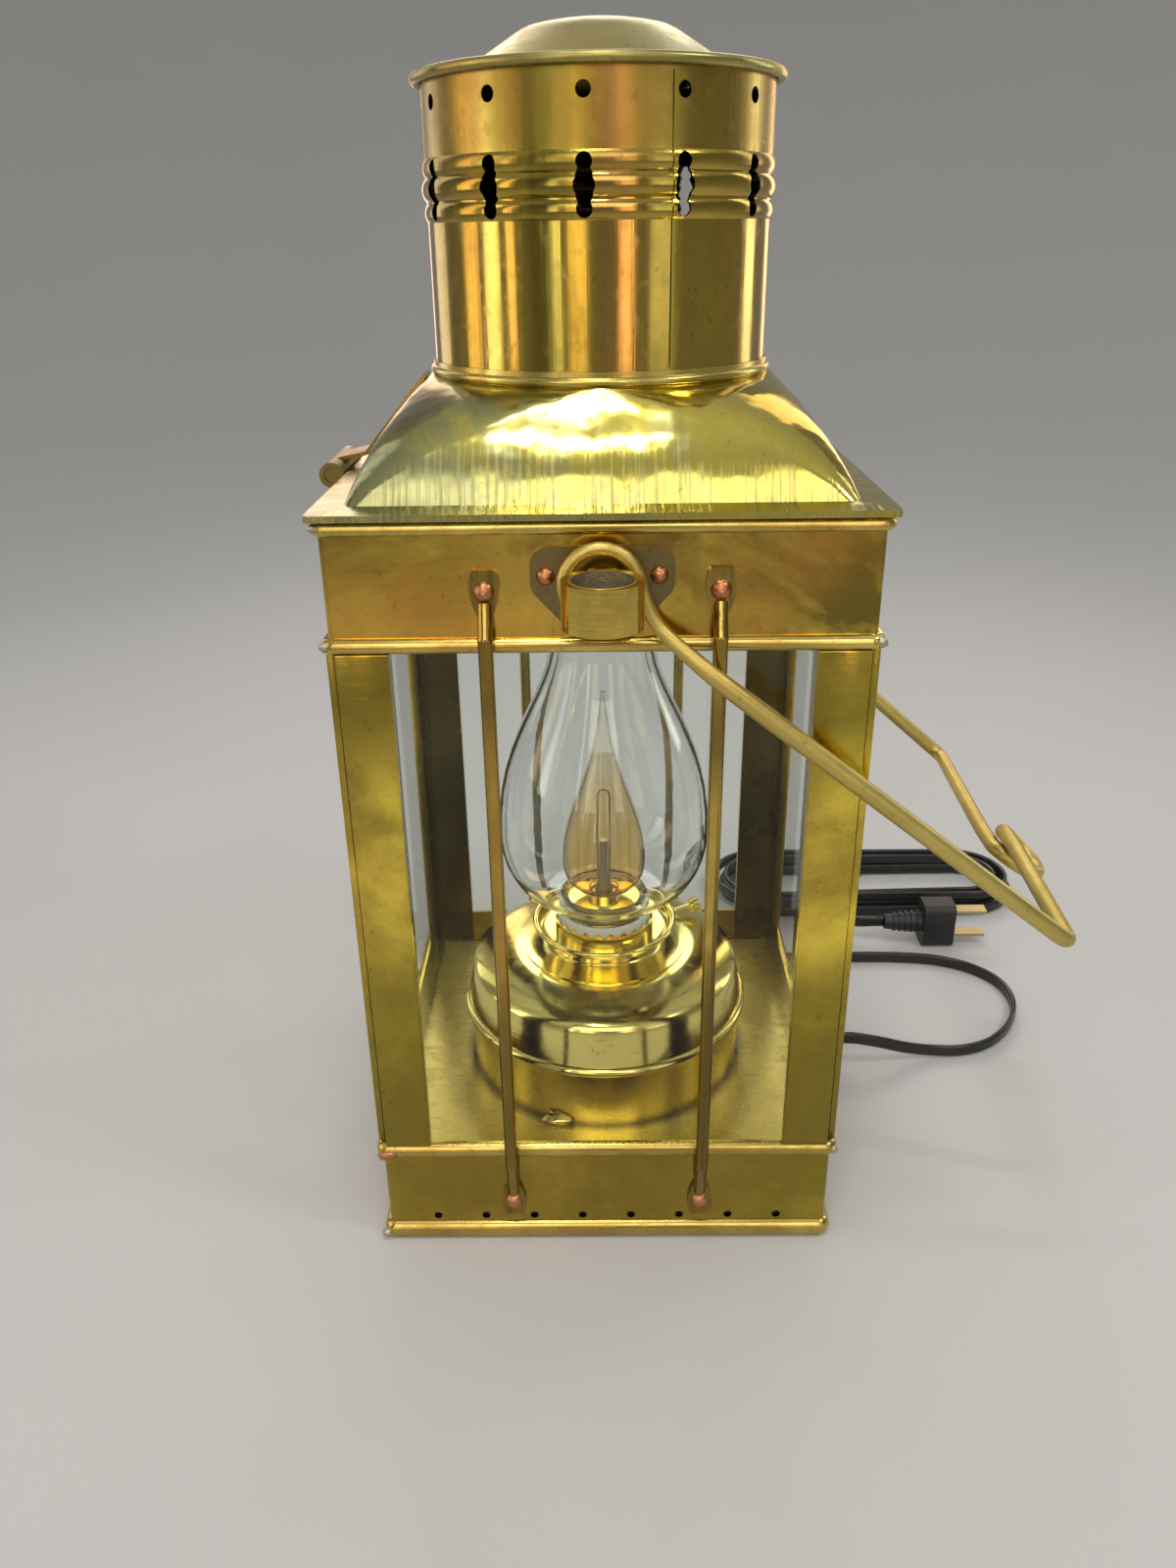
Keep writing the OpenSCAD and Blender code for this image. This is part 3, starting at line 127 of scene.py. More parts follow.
class Shader:
    """A material with one surface shader, and short ways to add nodes to it."""

    def __init__(self, name):
        self.mat = bpy.data.materials.new(name)
        self.mat.use_nodes = True
        self.tree = self.mat.node_tree
        self.bsdf = next(n for n in self.tree.nodes if n.type == "BSDF_PRINCIPLED")
        self.out = next(n for n in self.tree.nodes if n.type == "OUTPUT_MATERIAL")
        where = self.add("ShaderNodeTexCoord")
        self.coords = where.outputs["Object"]
        self.facing = where.outputs["Normal"]

    def add(self, kind, **settings):
        node = self.tree.nodes.new(kind)
        for key, value in settings.items():
            setattr(node, key, value)
        return node

    def link(self, a, b):
        self.tree.links.new(a, b)

    def put(self, socket, value):
        if isinstance(value, bpy.types.NodeSocket):
            self.link(value, socket)
        else:
            socket.default_value = value

    def surface(self, name, value):
        self.put(self.bsdf.inputs[name], value)

    def mapped(self, scale, place=(0, 0, 0)):
        node = self.add("ShaderNodeMapping")
        self.link(self.coords, node.inputs["Vector"])
        node.inputs["Scale"].default_value = scale
        node.inputs["Location"].default_value = place
        return node.outputs["Vector"]

    def noise(self, scale, detail=4.0, rough=0.55, vector=None, distort=0.0):
        node = self.add("ShaderNodeTexNoise")
        self.link(vector or self.coords, node.inputs["Vector"])
        node.inputs["Scale"].default_value = scale
        node.inputs["Detail"].default_value = detail
        node.inputs["Roughness"].default_value = rough
        node.inputs["Distortion"].default_value = distort
        return node.outputs["Fac"]

    def ramp(self, fac, stops):
        node = self.add("ShaderNodeValToRGB")
        self.link(fac, node.inputs["Fac"])
        set_stops(node.color_ramp, stops)
        return node.outputs["Color"]

    def mix(self, fac, a, b):
        node = self.add("ShaderNodeMix", data_type="RGBA", blend_type="MIX")
        self.put(node.inputs["Factor"], fac)
        for socket, value in ((node.inputs["A"], a), (node.inputs["B"], b)):
            self.put(socket, (*value, 1) if isinstance(value, tuple) else value)
        return node.outputs["Result"]

    def math(self, kind, a, b=0.0, clamp=False):
        node = self.add("ShaderNodeMath", operation=kind, use_clamp=clamp)
        self.put(node.inputs[0], a)
        self.put(node.inputs[1], b)
        return node.outputs["Value"]

    def plus(self, base, extra, share):
        return self.math("ADD", base, self.math("MULTIPLY", extra, share), True)

    def distance(self, a, b):
        squares = self.math("ADD", self.math("POWER", a, 2), self.math("POWER", b, 2))
        return self.math("SQRT", squares)

    def spread(self, fac, low, high, start=0.0, end=1.0):
        node = self.add("ShaderNodeMapRange")
        self.link(fac, node.inputs["Value"])
        node.inputs["From Min"].default_value = start
        node.inputs["From Max"].default_value = end
        node.inputs["To Min"].default_value = low
        node.inputs["To Max"].default_value = high
        return node.outputs["Result"]

    def axis(self, letter):
        node = self.add("ShaderNodeSeparateXYZ")
        self.link(self.coords, node.inputs["Vector"])
        return node.outputs[letter]

    def bump(self, height, distance, strength=1.0, after=None):
        node = self.add("ShaderNodeBump")
        node.inputs["Strength"].default_value = strength
        node.inputs["Distance"].default_value = distance
        self.link(height, node.inputs["Height"])
        if after is not None:
            self.link(after, node.inputs["Normal"])
        return node.outputs["Normal"]

    def clear(self, tint):
        node = self.add("ShaderNodeBsdfTransparent")
        node.inputs["Color"].default_value = (*tint, 1)
        return node

    def two_shaders(self, fac, first, second):
        mixed = self.add("ShaderNodeMixShader")
        self.link(fac, mixed.inputs["Fac"])
        self.link(first.outputs["BSDF"], mixed.inputs[1])
        self.link(second.outputs["BSDF"], mixed.inputs[2])
        self.link(mixed.outputs["Shader"], self.out.inputs["Surface"])


# Noise scales of the marks on brass, coarse to fine
BLUSH_SCALE = 8
UNEVEN_SCALE = 16
WAVE_SCALE = 21
MOTTLE_SCALE = 85
RUB_SCALE = 260
PIT_SCALE = 330
SPECK_SCALE = 380

# Depths of the relief, in metres
WAVE_DEPTH = 0.0012
STREAK_DEPTH = 0.00006
PIT_DEPTH = 0.0004

# Dark colour for specks of dirt, and for the painted contact shadow about the font's foot
DIRT_AND_SHADOW = (0.10, 0.075, 0.03)
# Near black for the painted shade inside the drum
INSIDE_SHADE = (0.022, 0.018, 0.012)


# Brass: tarnish clouds, warm blushes, dark specks, fine streaks, rubbed spots and the slow waves of sheet;
# where asked also painted reflections, a painted contact shadow and painted shade
def brass(name, bright, dark, warm, rough=(0.08, 0.22), tarnish=0.7, wave=1.0, grain=(40, 40, 900),
          spots=0.35, pits=0.0, blush=0.75, reflection_bands=0.0, reflection_band_scale=(46, 46, 1.2), metal=1.0,
          matt_above=None, painted_reflection=None, cloud=13, foot=None, shaded_inside=False):
    """Three colours, then how strong each kind of wear is.

    rough is a range. grain and the scale of the painted reflection stripes are noise scales along X, Y and
    Z.
    matt_above is the height where the metal turns matt. The list of heights gives the share of painted dark
    reflection at each height, foot the radius of a round foot with a painted contact shadow about it, and
    the last flag paints near-black shade on the faces that look towards the Z axis.
    """
    s = Shader(name)
    clouds = s.ramp(s.noise(cloud, 7, 0.62, distort=0.8), [(0.44, 0.0), (0.58, tarnish)])
    mottled = s.noise(MOTTLE_SCALE, 8, 0.68)
    streaks = s.noise(1, 3, 0.6, s.mapped(grain))
    rubbed = s.noise(1, 2, 0.5, s.mapped((RUB_SCALE, RUB_SCALE, RUB_SCALE), place=(5, 2, 7)))
    blushes = s.noise(BLUSH_SCALE, 4, 0.55, s.mapped((1, 1, 0.8), place=(3, 1, 2)))
    warmth = s.ramp(blushes, [(0.46, 0.0), (0.58, blush)])
    specks = s.ramp(s.noise(SPECK_SCALE, 4, 0.6), [(0.63, 0.0), (0.71, spots)])

    # Colour
    colour = s.mix(clouds, bright, dark)
    colour = s.mix(warmth, colour, warm)
    # Painted reflections: broad upright stripes of warm and dark colour
    if reflection_bands:
        broad = s.noise(1, 3, 0.55, s.mapped(reflection_band_scale))
        colour = s.mix(s.ramp(broad, [(0.50, 0.0), (0.62, reflection_bands)]), colour, warm)
        colour = s.mix(s.ramp(broad, [(0.34, reflection_bands), (0.45, 0.0)]), colour, dark)
    if matt_above:
        matt = s.spread(s.axis("Z"), 0.0, 1.0, (matt_above - 4) * MM, (matt_above + 4) * MM)
        colour = s.mix(s.math("MULTIPLY", matt, 0.25), colour, dark)
    # Painted reflection by height: the metal darkened low down and near the top, with a bright band between
    if painted_reflection:
        height = s.spread(s.axis("Z"), 0.0, 1.0, 0.0, FRIEZE_Z * MM)
        uneven = s.math("SUBTRACT", s.noise(UNEVEN_SCALE, 4, 0.5), 0.5)
        colour = s.mix(s.ramp(s.plus(height, uneven, 0.35), painted_reflection), colour, dark)
    colour = s.mix(s.ramp(mottled, [(0.42, 0.0), (0.78, 0.4)]), colour, dark)
    colour = s.mix(s.ramp(streaks, [(0.60, 0.0), (0.78, 0.25)]), colour, dark)
    colour = s.mix(specks, colour, DIRT_AND_SHADOW)
    # Painted contact shadow: a dark ring about the round foot
    if foot:
        out = s.distance(s.axis("X"), s.axis("Y"))
        colour = s.mix(s.spread(out, 0.85, 0.0, (foot + 0.6) * MM, (foot + 4) * MM), colour, DIRT_AND_SHADOW)
    # Painted shade: near black on the faces that look towards the Z axis, the inside of the drum
    if shaded_inside:
        outward = s.add("ShaderNodeVectorMath", operation="DOT_PRODUCT")
        s.link(s.facing, outward.inputs[0])
        s.link(s.mapped((1, 1, 0)), outward.inputs[1])
        colour = s.mix(s.math("LESS_THAN", outward.outputs["Value"], 0), colour, INSIDE_SHADE)
    s.surface("Base Color", colour)
    s.surface("Metallic", metal)

    # Roughness
    blur = s.spread(mottled, rough[0], rough[1], 0.25, 0.75)
    blur = s.plus(blur, clouds, 0.1)
    blur = s.plus(blur, s.ramp(streaks, [(0.5, 0.0), (0.72, 1.0)]), 0.07)
    blur = s.plus(blur, s.ramp(rubbed, [(0.58, 0.0), (0.68, 1.0)]), 0.06)
    if matt_above:
        blur = s.plus(blur, matt, 0.16)
    s.surface("Roughness", blur)

    # Relief
    relief = s.bump(s.noise(WAVE_SCALE, 2, 0.4), WAVE_DEPTH * wave, 0.5)
    relief = s.bump(streaks, STREAK_DEPTH, 0.35, relief)
    if pits:
        relief = s.bump(s.noise(PIT_SCALE, 5, 0.7), PIT_DEPTH * pits, 0.7, relief)
    s.surface("Normal", relief)
    return s.mat


YELLOW = (0.92, 0.70, 0.095)
OLIVE = (0.21, 0.17, 0.028)
ORANGE = (0.58, 0.32, 0.075)

# Height as a share of the body, and how much painted dark reflection is laid on the metal there: dark low
# down and near the top, none in a band between
PAINTED_REFLECTION_BY_HEIGHT = [
    (0.0, 0.62), (0.16, 0.62), (0.25, 0.8), (0.45, 0.72),
    (0.56, 0.0), (0.78, 0.0), (0.9, 0.68), (1.0, 0.3),
]

# Sheet: carries the painted reflection by height
mat_sheet = brass(
    "brass_sheet", YELLOW, OLIVE, ORANGE,
    tarnish=0.6, wave=1.5, blush=0.45, painted_reflection=PAINTED_REFLECTION_BY_HEIGHT, cloud=16)
# Posts: darker brass as painted shade, for the post faces that lie in shadow beside the cover strips, with
# the painted reflection by height as well
mat_shaded_post = brass(
    "brass_post_shaded", (0.40, 0.29, 0.065), (0.13, 0.10, 0.025), (0.38, 0.21, 0.05),
    tarnish=0.8, blush=0.5, spots=0.6, painted_reflection=PAINTED_REFLECTION_BY_HEIGHT)
mat_frieze = brass(
    "brass_frieze", (0.88, 0.65, 0.10), (0.17, 0.125, 0.026), (0.74, 0.38, 0.075),
    rough=(0.05, 0.16), tarnish=0.9, wave=1.8, blush=0.85, cloud=21)
# Drum: upright painted reflection stripes, and painted shade on its inside
mat_drum = brass(
    "brass_drum", (0.49, 0.37, 0.065), (0.19, 0.145, 0.026), (0.54, 0.30, 0.09),
    rough=(0.06, 0.15), tarnish=0.45, wave=0.35, grain=(700, 700, 14), blush=0.4, reflection_bands=0.7,
    matt_above=MATT_Z, shaded_inside=True)
mat_bead = brass(
    "brass_bead", (0.72, 0.58, 0.17), OLIVE, ORANGE,
    rough=(0.12, 0.28), tarnish=0.55, wave=0.4, blush=0.4)
# Rods: fine upright painted reflection stripes, and the painted reflection by height
mat_rod = brass(
    "brass_rod", (0.66, 0.49, 0.11), (0.17, 0.115, 0.03), (0.54, 0.33, 0.075),
    rough=(0.05, 0.15), tarnish=0.5, wave=0.3, grain=(900, 900, 20), blush=0.3,
    reflection_bands=0.9, reflection_band_scale=(380, 380, 4), painted_reflection=PAINTED_REFLECTION_BY_HEIGHT)
mat_font = brass(
    "brass_font", (0.94, 0.80, 0.25), (0.70, 0.575, 0.17), (0.82, 0.62, 0.18),
    rough=(0.08, 0.2), tarnish=0.4, wave=0.6, spots=0.25, blush=0.4)
# Floor plate: a painted contact shadow about the font's foot
mat_floor_plate = brass(
    "brass_floor_plate", (0.80, 0.65, 0.15), (0.58, 0.45, 0.10), (0.72, 0.52, 0.1),
    rough=(0.16, 0.32), tarnish=0.4, wave=0.6, grain=(60, 500, 60), blush=0.4, metal=0.5, foot=FONT_R)
mat_dull = brass(
    "brass_dull", (0.36, 0.285, 0.085), (0.16, 0.125, 0.045), (0.30, 0.20, 0.07),
    rough=(0.22, 0.42), tarnish=0.8, wave=0.8, spots=0.6)
mat_lug = brass(
    "brass_lug", (0.25, 0.215, 0.09), (0.12, 0.10, 0.045), (0.26, 0.18, 0.07),
    rough=(0.2, 0.4), tarnish=0.8, wave=0.5, spots=0.6)
mat_cap = brass(
    "brass_cap", (0.48, 0.41, 0.13), (0.24, 0.21, 0.075), (0.42, 0.31, 0.09),
    rough=(0.2, 0.38), tarnish=0.7, wave=1.0, spots=0.5)
mat_wire = brass(
    "brass_wire", (0.66, 0.54, 0.165), (0.45, 0.365, 0.10), (0.56, 0.43, 0.125),
    rough=(0.32, 0.48), tarnish=0.5, wave=0.2, grain=(500, 500, 500), pits=0.4)
mat_copper = brass(
    "copper", (0.54, 0.21, 0.08), (0.17, 0.06, 0.028), (0.64, 0.31, 0.15),
    rough=(0.12, 0.28), tarnish=0.75, wave=0.2, grain=(300, 300, 300), pits=1.4)
mat_blade = brass(
    "blade_brass", (0.56, 0.50, 0.32), (0.38, 0.34, 0.21), (0.52, 0.44, 0.25),
    rough=(0.2, 0.36), tarnish=0.4, wave=0.1)


# Roof: bright sheet with grey-green tarnish, more of it at the left, and fine upright scratches low down
def make_roof():
    bright = (0.70, 0.585, 0.11)
    tarnished = (0.31, 0.33, 0.17)
    brown = (0.36, 0.28, 0.08)
    scratched = (0.32, 0.29, 0.13)
    s = Shader("brass_roof")
    x = s.axis("X")
    y = s.axis("Y")
    z = s.axis("Z")
    patches = s.noise(15, 8, 0.68, distort=1.4)
    left = s.spread(x, 0.12, -0.05, -0.06, 0.05)
    clouds = s.ramp(s.math("ADD", patches, left), [(0.48, 0.0), (0.64, 0.9)])
    mottled = s.noise(80, 8, 0.68)
    specks = s.noise(PIT_SCALE, 4, 0.6)

    # The scratches follow the coordinate that runs along each side
    low = s.spread(z, 1.0, 0.0, (ROOF_LOW + 6) * MM, (ROOF_LOW + 20) * MM)
    on_side = s.math("GREATER_THAN", s.math("ABSOLUTE", x), s.math("ABSOLUTE", y))
    along = s.math("ADD", x, s.math("MULTIPLY", on_side, s.math("SUBTRACT", y, x)))
    line = s.add("ShaderNodeCombineXYZ")
    s.link(s.math("MULTIPLY", along, 800), line.inputs["X"])
    s.link(s.math("MULTIPLY", z, 26), line.inputs["Z"])
    upright = s.noise(1, 3, 0.6, line.outputs["Vector"])
    scratch = s.math("MULTIPLY", s.ramp(upright, [(0.48, 0.0), (0.60, 1.0)]), low, True)

    colour = s.mix(clouds, bright, tarnished)
    colour = s.mix(s.ramp(mottled, [(0.44, 0.0), (0.8, 0.4)]), colour, brown)
    colour = s.mix(s.math("MULTIPLY", scratch, 0.7), colour, scratched)
    colour = s.mix(s.ramp(specks, [(0.64, 0.0), (0.72, 0.4)]), colour, DIRT_AND_SHADOW)
    blur = s.plus(s.spread(mottled, 0.06, 0.15, 0.25, 0.75), clouds, 0.09)
    relief = s.bump(s.noise(30, 3, 0.45), 0.0028, 0.6)
    relief = s.bump(s.math("MULTIPLY", upright, low), 0.00012, 0.5, relief)
    s.surface("Base Color", colour)
    s.surface("Metallic", 1.0)
    s.surface("Roughness", s.plus(blur, scratch, 0.16))
    s.surface("Normal", relief)
    return s.mat


# Barrel: bright outside, rough and greyer in its bore
def make_barrel():
    bright = (0.80, 0.57, 0.12)
    brown = (0.46, 0.325, 0.07)
    bore_light = (0.36, 0.31, 0.17)
    bore_dark = (0.17, 0.14, 0.08)
    s = Shader("brass_barrel")
    across = s.math("SUBTRACT", s.math("ABSOLUTE", s.axis("Y")), BARREL_Y * MM)
    out = s.distance(across, s.axis("X"))
    inside = s.spread(out, 1.0, 0.0, (BORE_R + 0.2) * MM, (BORE_R + 0.6) * MM)
    turned = s.noise(1, 3, 0.6, s.mapped((30, 30, 1500)))
    mottled = s.noise(140, 7, 0.65)
    colour = s.mix(s.ramp(mottled, [(0.38, 0.0), (0.72, 0.8)]), bright, brown)
    colour = s.mix(inside, colour, s.mix(mottled, bore_light, bore_dark))
    relief = s.bump(turned, 0.0001, 0.5)
    relief = s.bump(s.math("MULTIPLY", s.noise(420, 5, 0.7), inside), 0.0012, 0.8, relief)
    s.surface("Base Color", colour)
    s.surface("Metallic", 1.0)
    s.surface("Roughness", s.plus(s.spread(mottled, 0.08, 0.22), inside, 0.4))
    s.surface("Normal", relief)
    return s.mat


mat_roof = make_roof()
mat_barrel = make_barrel()

GLASS_IOR = 1.45


# Clear glass that lets lamp light through, with a tint that may change with height; on the bulb the low
# colour is a painted amber reflection of the brass below, streaked upright
def glass(name, tint, low_reflection=None, span=(0, 1), dust=0.03):
    s = Shader(name)
    if low_reflection:
        up = s.spread(s.axis("Z"), 0.0, 1.0, span[0] * MM, span[1] * MM)
        upright = s.noise(1, 3, 0.6, s.mapped((240, 240, 16)))
        streaked = s.plus(up, s.math("SUBTRACT", upright, 0.5), 0.7)
        s.surface("Base Color", s.mix(streaked, low_reflection, tint))
    else:
        s.surface("Base Color", (*tint, 1))
    s.surface("Transmission Weight", 1.0)
    s.surface("IOR", GLASS_IOR)
    s.surface("Roughness", s.spread(s.noise(60, 5, 0.6), 0.0, dust))
    s.surface("Normal", s.bump(s.noise(30, 2, 0.4), 0.0004, 0.25))
    path = s.add("ShaderNodeLightPath")
    s.two_shaders(path.outputs["Is Shadow Ray"], s.bsdf, s.clear(tint))
    return s.mat


# Flat panes: seen through, with a mirror sheen that grows at a slant
def pane_glass(name):
    s = Shader(name)
    shine = s.add("ShaderNodeBsdfGlossy")
    shine.inputs["Color"].default_value = (0.92, 0.94, 0.94, 1)
    s.link(s.spread(s.noise(24, 5, 0.6), 0.0, 0.06), shine.inputs["Roughness"])
    s.link(s.bump(s.noise(9, 2, 0.4), 0.001, 0.2), shine.inputs["Normal"])
    slant = s.add("ShaderNodeLayerWeight")
    slant.inputs["Blend"].default_value = 0.5
    sheen = s.spread(s.math("POWER", slant.outputs["Facing"], 4), 0.012, 0.45)
    s.two_shaders(sheen, s.clear((0.965, 0.98, 0.97)), shine)
    return s.mat


# Amber for the painted reflection of the brass below, low in the bulb
AMBER_REFLECTION = (0.93, 0.69, 0.24)
mat_pane = pane_glass("pane_glass")
mat_chimney = glass("chimney_glass", (0.97, 0.985, 0.98), dust=0.012)
mat_bulb = glass("bulb_glass", (0.97, 0.94, 0.82), AMBER_REFLECTION, (BULB_LOW, BULB_LOW + BULB_REFLECTION_H))


# Plain matt, plastic and metal finishes with fine grain
def solid(name, colour, second, rough, grain=300, depth=0.0001, metal=0.0):
    s = Shader(name)
    clouds = s.ramp(s.noise(45, 6, 0.6), [(0.35, 0.0), (0.7, 1.0)])
    s.surface("Base Color", s.mix(clouds, colour, second))
    s.surface("Roughness", s.spread(s.noise(120, 5, 0.6), rough - 0.08, rough + 0.1))
    s.surface("Normal", s.bump(s.noise(grain, 4, 0.6), depth, 0.4))
    s.surface("Metallic", metal)
    return s.mat


mat_white = solid("white_ring", (0.80, 0.79, 0.74), (0.66, 0.64, 0.57), 0.5)
mat_cord = solid("black_cord", (0.012, 0.012, 0.013), (0.024, 0.024, 0.026), 0.24, 500, 0.00004)
mat_plug = solid("black_plug", (0.015, 0.015, 0.017), (0.027, 0.027, 0.029), 0.4, 700, 0.00008)
mat_solder = solid("solder", (0.52, 0.49, 0.40), (0.36, 0.31, 0.20), 0.38, 260, 0.0004, 1.0)
mat_steel = solid("filament_wire", (0.45, 0.43, 0.38), (0.3, 0.28, 0.24), 0.35, metal=1.0)

# Which finish each solid takes
FINISH = {
    mat_sheet: ["base_skirt"] + ["strips_" + side for side in SIDES],
    mat_shaded_post: ["corner_post_front_left", "corner_post_front_right",
               "corner_post_rear_left", "corner_post_rear_right"],
    mat_frieze: ["frieze"],
    mat_floor_plate: ["floor_plate"],
    mat_bead: ["base_bead", "sill_bead", "frieze_bead", "top_bead", "drum_collar"],
    mat_rod: ["guard_rods_" + side for side in SIDES],
    mat_roof: ["roof"],
    mat_drum: ["vent_drum"],
    mat_cap: ["vent_cap"],
    mat_dull: ["hinge_leaf", "hinge_pin", "hinge_strap"],
    mat_lug: ["lug_plate_front", "lug_plate_rear"],
    mat_barrel: ["lug_barrel_front", "lug_barrel_rear"],
    mat_copper: ["guard_rivets", "lug_rivets"],
    mat_wire: ["bail"],
    mat_font: ["font_drum", "font_dome", "burner_collar", "burner_gallery", "knob_bush", "wick_knob",
               "lamp_nipple", "lamp_socket", "bulb_base"],
    mat_pane: ["glass_" + side for side in SIDES],
    mat_chimney: ["glass_chimney"],
    mat_bulb: ["bulb_glass"],
    mat_white: ["seat_ring"],
    mat_steel: ["bulb_filament"],
    mat_plug: ["plug_body", "cord_bushing", "hank_tie"],
    mat_blade: ["plug_blades"],
}
for finish, names in FINISH.items():
    for name in names:
        nodes[name].data.materials.clear()
        nodes[name].data.materials.append(finish)

# Smooth shading: angles in degrees, lengths in millimetres
WELD_GAP = 0.01
FOLD_ANGLE = 32
BAIL_ANGLE = 60
FOLD_R = 0.4
ROUND_FROM = 40
ROUND_STEPS = 3
FLAT = FINISH[mat_pane] + ["cord_lead", "cord_hank", "cord_tail", "inner_lead"]


# Smooth faces, kept crisp at folds, with the folded edges of the cover strips a little rounded
def smooth(obj, degrees, rounding):
    weld = obj.modifiers.new("weld", "WELD")
    weld.merge_threshold = WELD_GAP * MM
    for face in obj.data.polygons:
        face.use_smooth = True
    if rounding:
        edges = obj.modifiers.new("edges", "BEVEL")
        edges.width = rounding * MM
        edges.segments = ROUND_STEPS
        edges.limit_method = "ANGLE"
        edges.angle_limit = math.radians(ROUND_FROM)
    split = obj.modifiers.new("folds", "EDGE_SPLIT")
    split.split_angle = math.radians(degrees)


for name, obj in nodes.items():
    if name not in FLAT:
        angle = BAIL_ANGLE if name == "bail" else FOLD_ANGLE
        smooth(obj, angle, FOLD_R if name.startswith("strips") else 0.0)


# New pieces, all on the fixed body
def add_mesh(name, verts, faces, material):
    mesh = bpy.data.meshes.new(name)
    mesh.from_pydata(verts, [], faces)
    mesh.update()
    obj = bpy.data.objects.new(name, mesh)
    scene.collection.objects.link(obj)
    obj.data.materials.append(material)
    for face in mesh.polygons:
        face.use_smooth = True
    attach(obj, "lantern")
    return obj


# Rings and points of a drop, the size of its lumps, and a factor that gives each drop lumps of its own
DROP_RINGS = 10
DROP_POINTS = 16
LUMP_SCALE = 1.6
LUMP_SHIFT = 900


# A drop of solder: a lumpy flattened ball
def drop(name, place, size, material, lumps=0.25):
    centre = Vector(place) * MM

    def point(ring, step):
        a = math.pi * ring / DROP_RINGS
        b = 2 * math.pi * step / DROP_POINTS
        d = Vector((math.sin(a) * math.cos(b), math.sin(a) * math.sin(b), math.cos(a)))
        swell = 1 + lumps * noise.noise(d * LUMP_SCALE + centre * LUMP_SHIFT)
        return centre + Vector((d.x * size[0], d.y * size[1], d.z * size[2])) * swell * MM

    verts = [point(0, 0)]
    verts += [point(r, k) for r in range(1, DROP_RINGS) for k in range(DROP_POINTS)]
    verts += [point(DROP_RINGS, 0)]
    faces = []
    last = len(verts) - 1
    for k in range(DROP_POINTS):
        n = (k + 1) % DROP_POINTS
        faces.append((0, 1 + k, 1 + n))
        faces.append((last, last - DROP_POINTS + n, last - DROP_POINTS + k))
        for r in range(DROP_RINGS - 2):
            a = 1 + r * DROP_POINTS
            b = a + DROP_POINTS
            faces.append((a + k, b + k, b + n, a + n))
    return add_mesh(name, verts, faces, material)


# Drops at the corners of the beads, seen at the front and guessed at the rear, and one at the font's foot
CORNER = HALF + 0.8
FOOT = CORNER + 0.3
drop("solder_top_left", (-CORNER, -CORNER, TOP_Z + 0.4), (1.3, 1.3, 1.2), mat_solder)
drop("solder_frieze_left", (-CORNER, -CORNER, FRIEZE_Z), (1.7, 1.3, 1.4), mat_solder)
drop("solder_frieze_right", (CORNER, -CORNER, FRIEZE_Z), (1.7, 1.4, 1.6), mat_solder)
drop("solder_sill_right", (CORNER, -CORNER, SILL_Z), (1.5, 1.3, 1.5), mat_solder)
drop("solder_base_left", (-FOOT, -FOOT, BASE_Z - 0.65), (1.8, 1.6, 1.6), mat_solder)
drop("copper_sill_left", (-HALF + 1.8, -HALF - 1.9, SILL_Z - 0.8), (3.4, 1.4, 1.8), mat_copper)
drop("solder_frieze_rear", (CORNER, CORNER, FRIEZE_Z), (1.7, 1.7, 1.7), mat_solder)
drop("solder_sill_rear", (-CORNER, CORNER, SILL_Z), (1.6, 1.6, 1.6), mat_solder)
drop("solder_base_rear", (FOOT, FOOT, BASE_Z - 1.25), (1.7, 1.7, 1.6), mat_solder)
drop("solder_font_foot", (-17, -FONT_R + 2.2, FLOOR_TOP + 1.4), (7.0, 2.6, 2.0), mat_font, 0.5)

# Cord: flat twin flex along the same route as its solids, in millimetres
EXIT = (98, 17, 14)
CORD_Z = 2.8
HANK_Z = 3.4
HANK_START = (85, 137)
HANK_R = 26
HANK_PITCH = 5.6
HANK_RUN = 104
LAYER_RISE = 5.8
PLUG = (138, 114, 11)
LEAD = [
    EXIT, (102, 17, 14), (106, 17, 13.6), (116, 18, 10.8), (127, 20, 6.6), (139, 22, 3.6),
    (152, 23, CORD_Z), (165, 28, CORD_Z), (177, 40, CORD_Z), (184, 56, CORD_Z), (183, 72, CORD_Z),
    (174, 84, CORD_Z), (161, 91, CORD_Z), (146, 94, CORD_Z), (128, 95, CORD_Z), (108, 95, CORD_Z),
    (88, 95, CORD_Z), (70, 95, CORD_Z), (55, 101, CORD_Z), (49, 116, CORD_Z), (55, 131, CORD_Z),
    (71, 137, HANK_Z), (78, 137, HANK_Z), (*HANK_START, HANK_Z),
]
TAIL = [(91, 137, 9.2), (100, 134.5, 8.6), (112, 125.5, 8.4), (124, 116.5, 9.6), (133, 114, 11), PLUG]
INNER = [
    (73, 17, 14), (66, 17, 14), (50, 17, 14), (34, 16, 14), (20, 12, 14), (8, 6, 14),
    (2, 2, 16), (0, 0, 19), (0, 0, 22.8), (0, 0, 25.8),
]

# Turns of the hank: inward in the lower layer, up, and outward again in the upper layer
TURNS_IN = 1.75
TURNS_UP = 0.5
TURN_STEPS = 48

# One turn has 24 marks: a straight run, a half circle, the run back and another half circle
TURN_MARKS = 24
RUN_MARKS = 4
BEND_MARKS = 8

# Share of a turn that goes by before the hank starts to draw in
STRAIGHT = 2 / TURN_MARKS

# Outline of the flex: how square its cores are, and the groove between them
CORE_SQUARE = 0.6
GROOVE_DEPTH = 0.3
GROOVE_WIDTH = 0.28

# Steps between the points of a route, and points round the flex
CORD_STEPS = 6
INNER_STEPS = 5
CORD_POINTS = 20
INNER_POINTS = 16


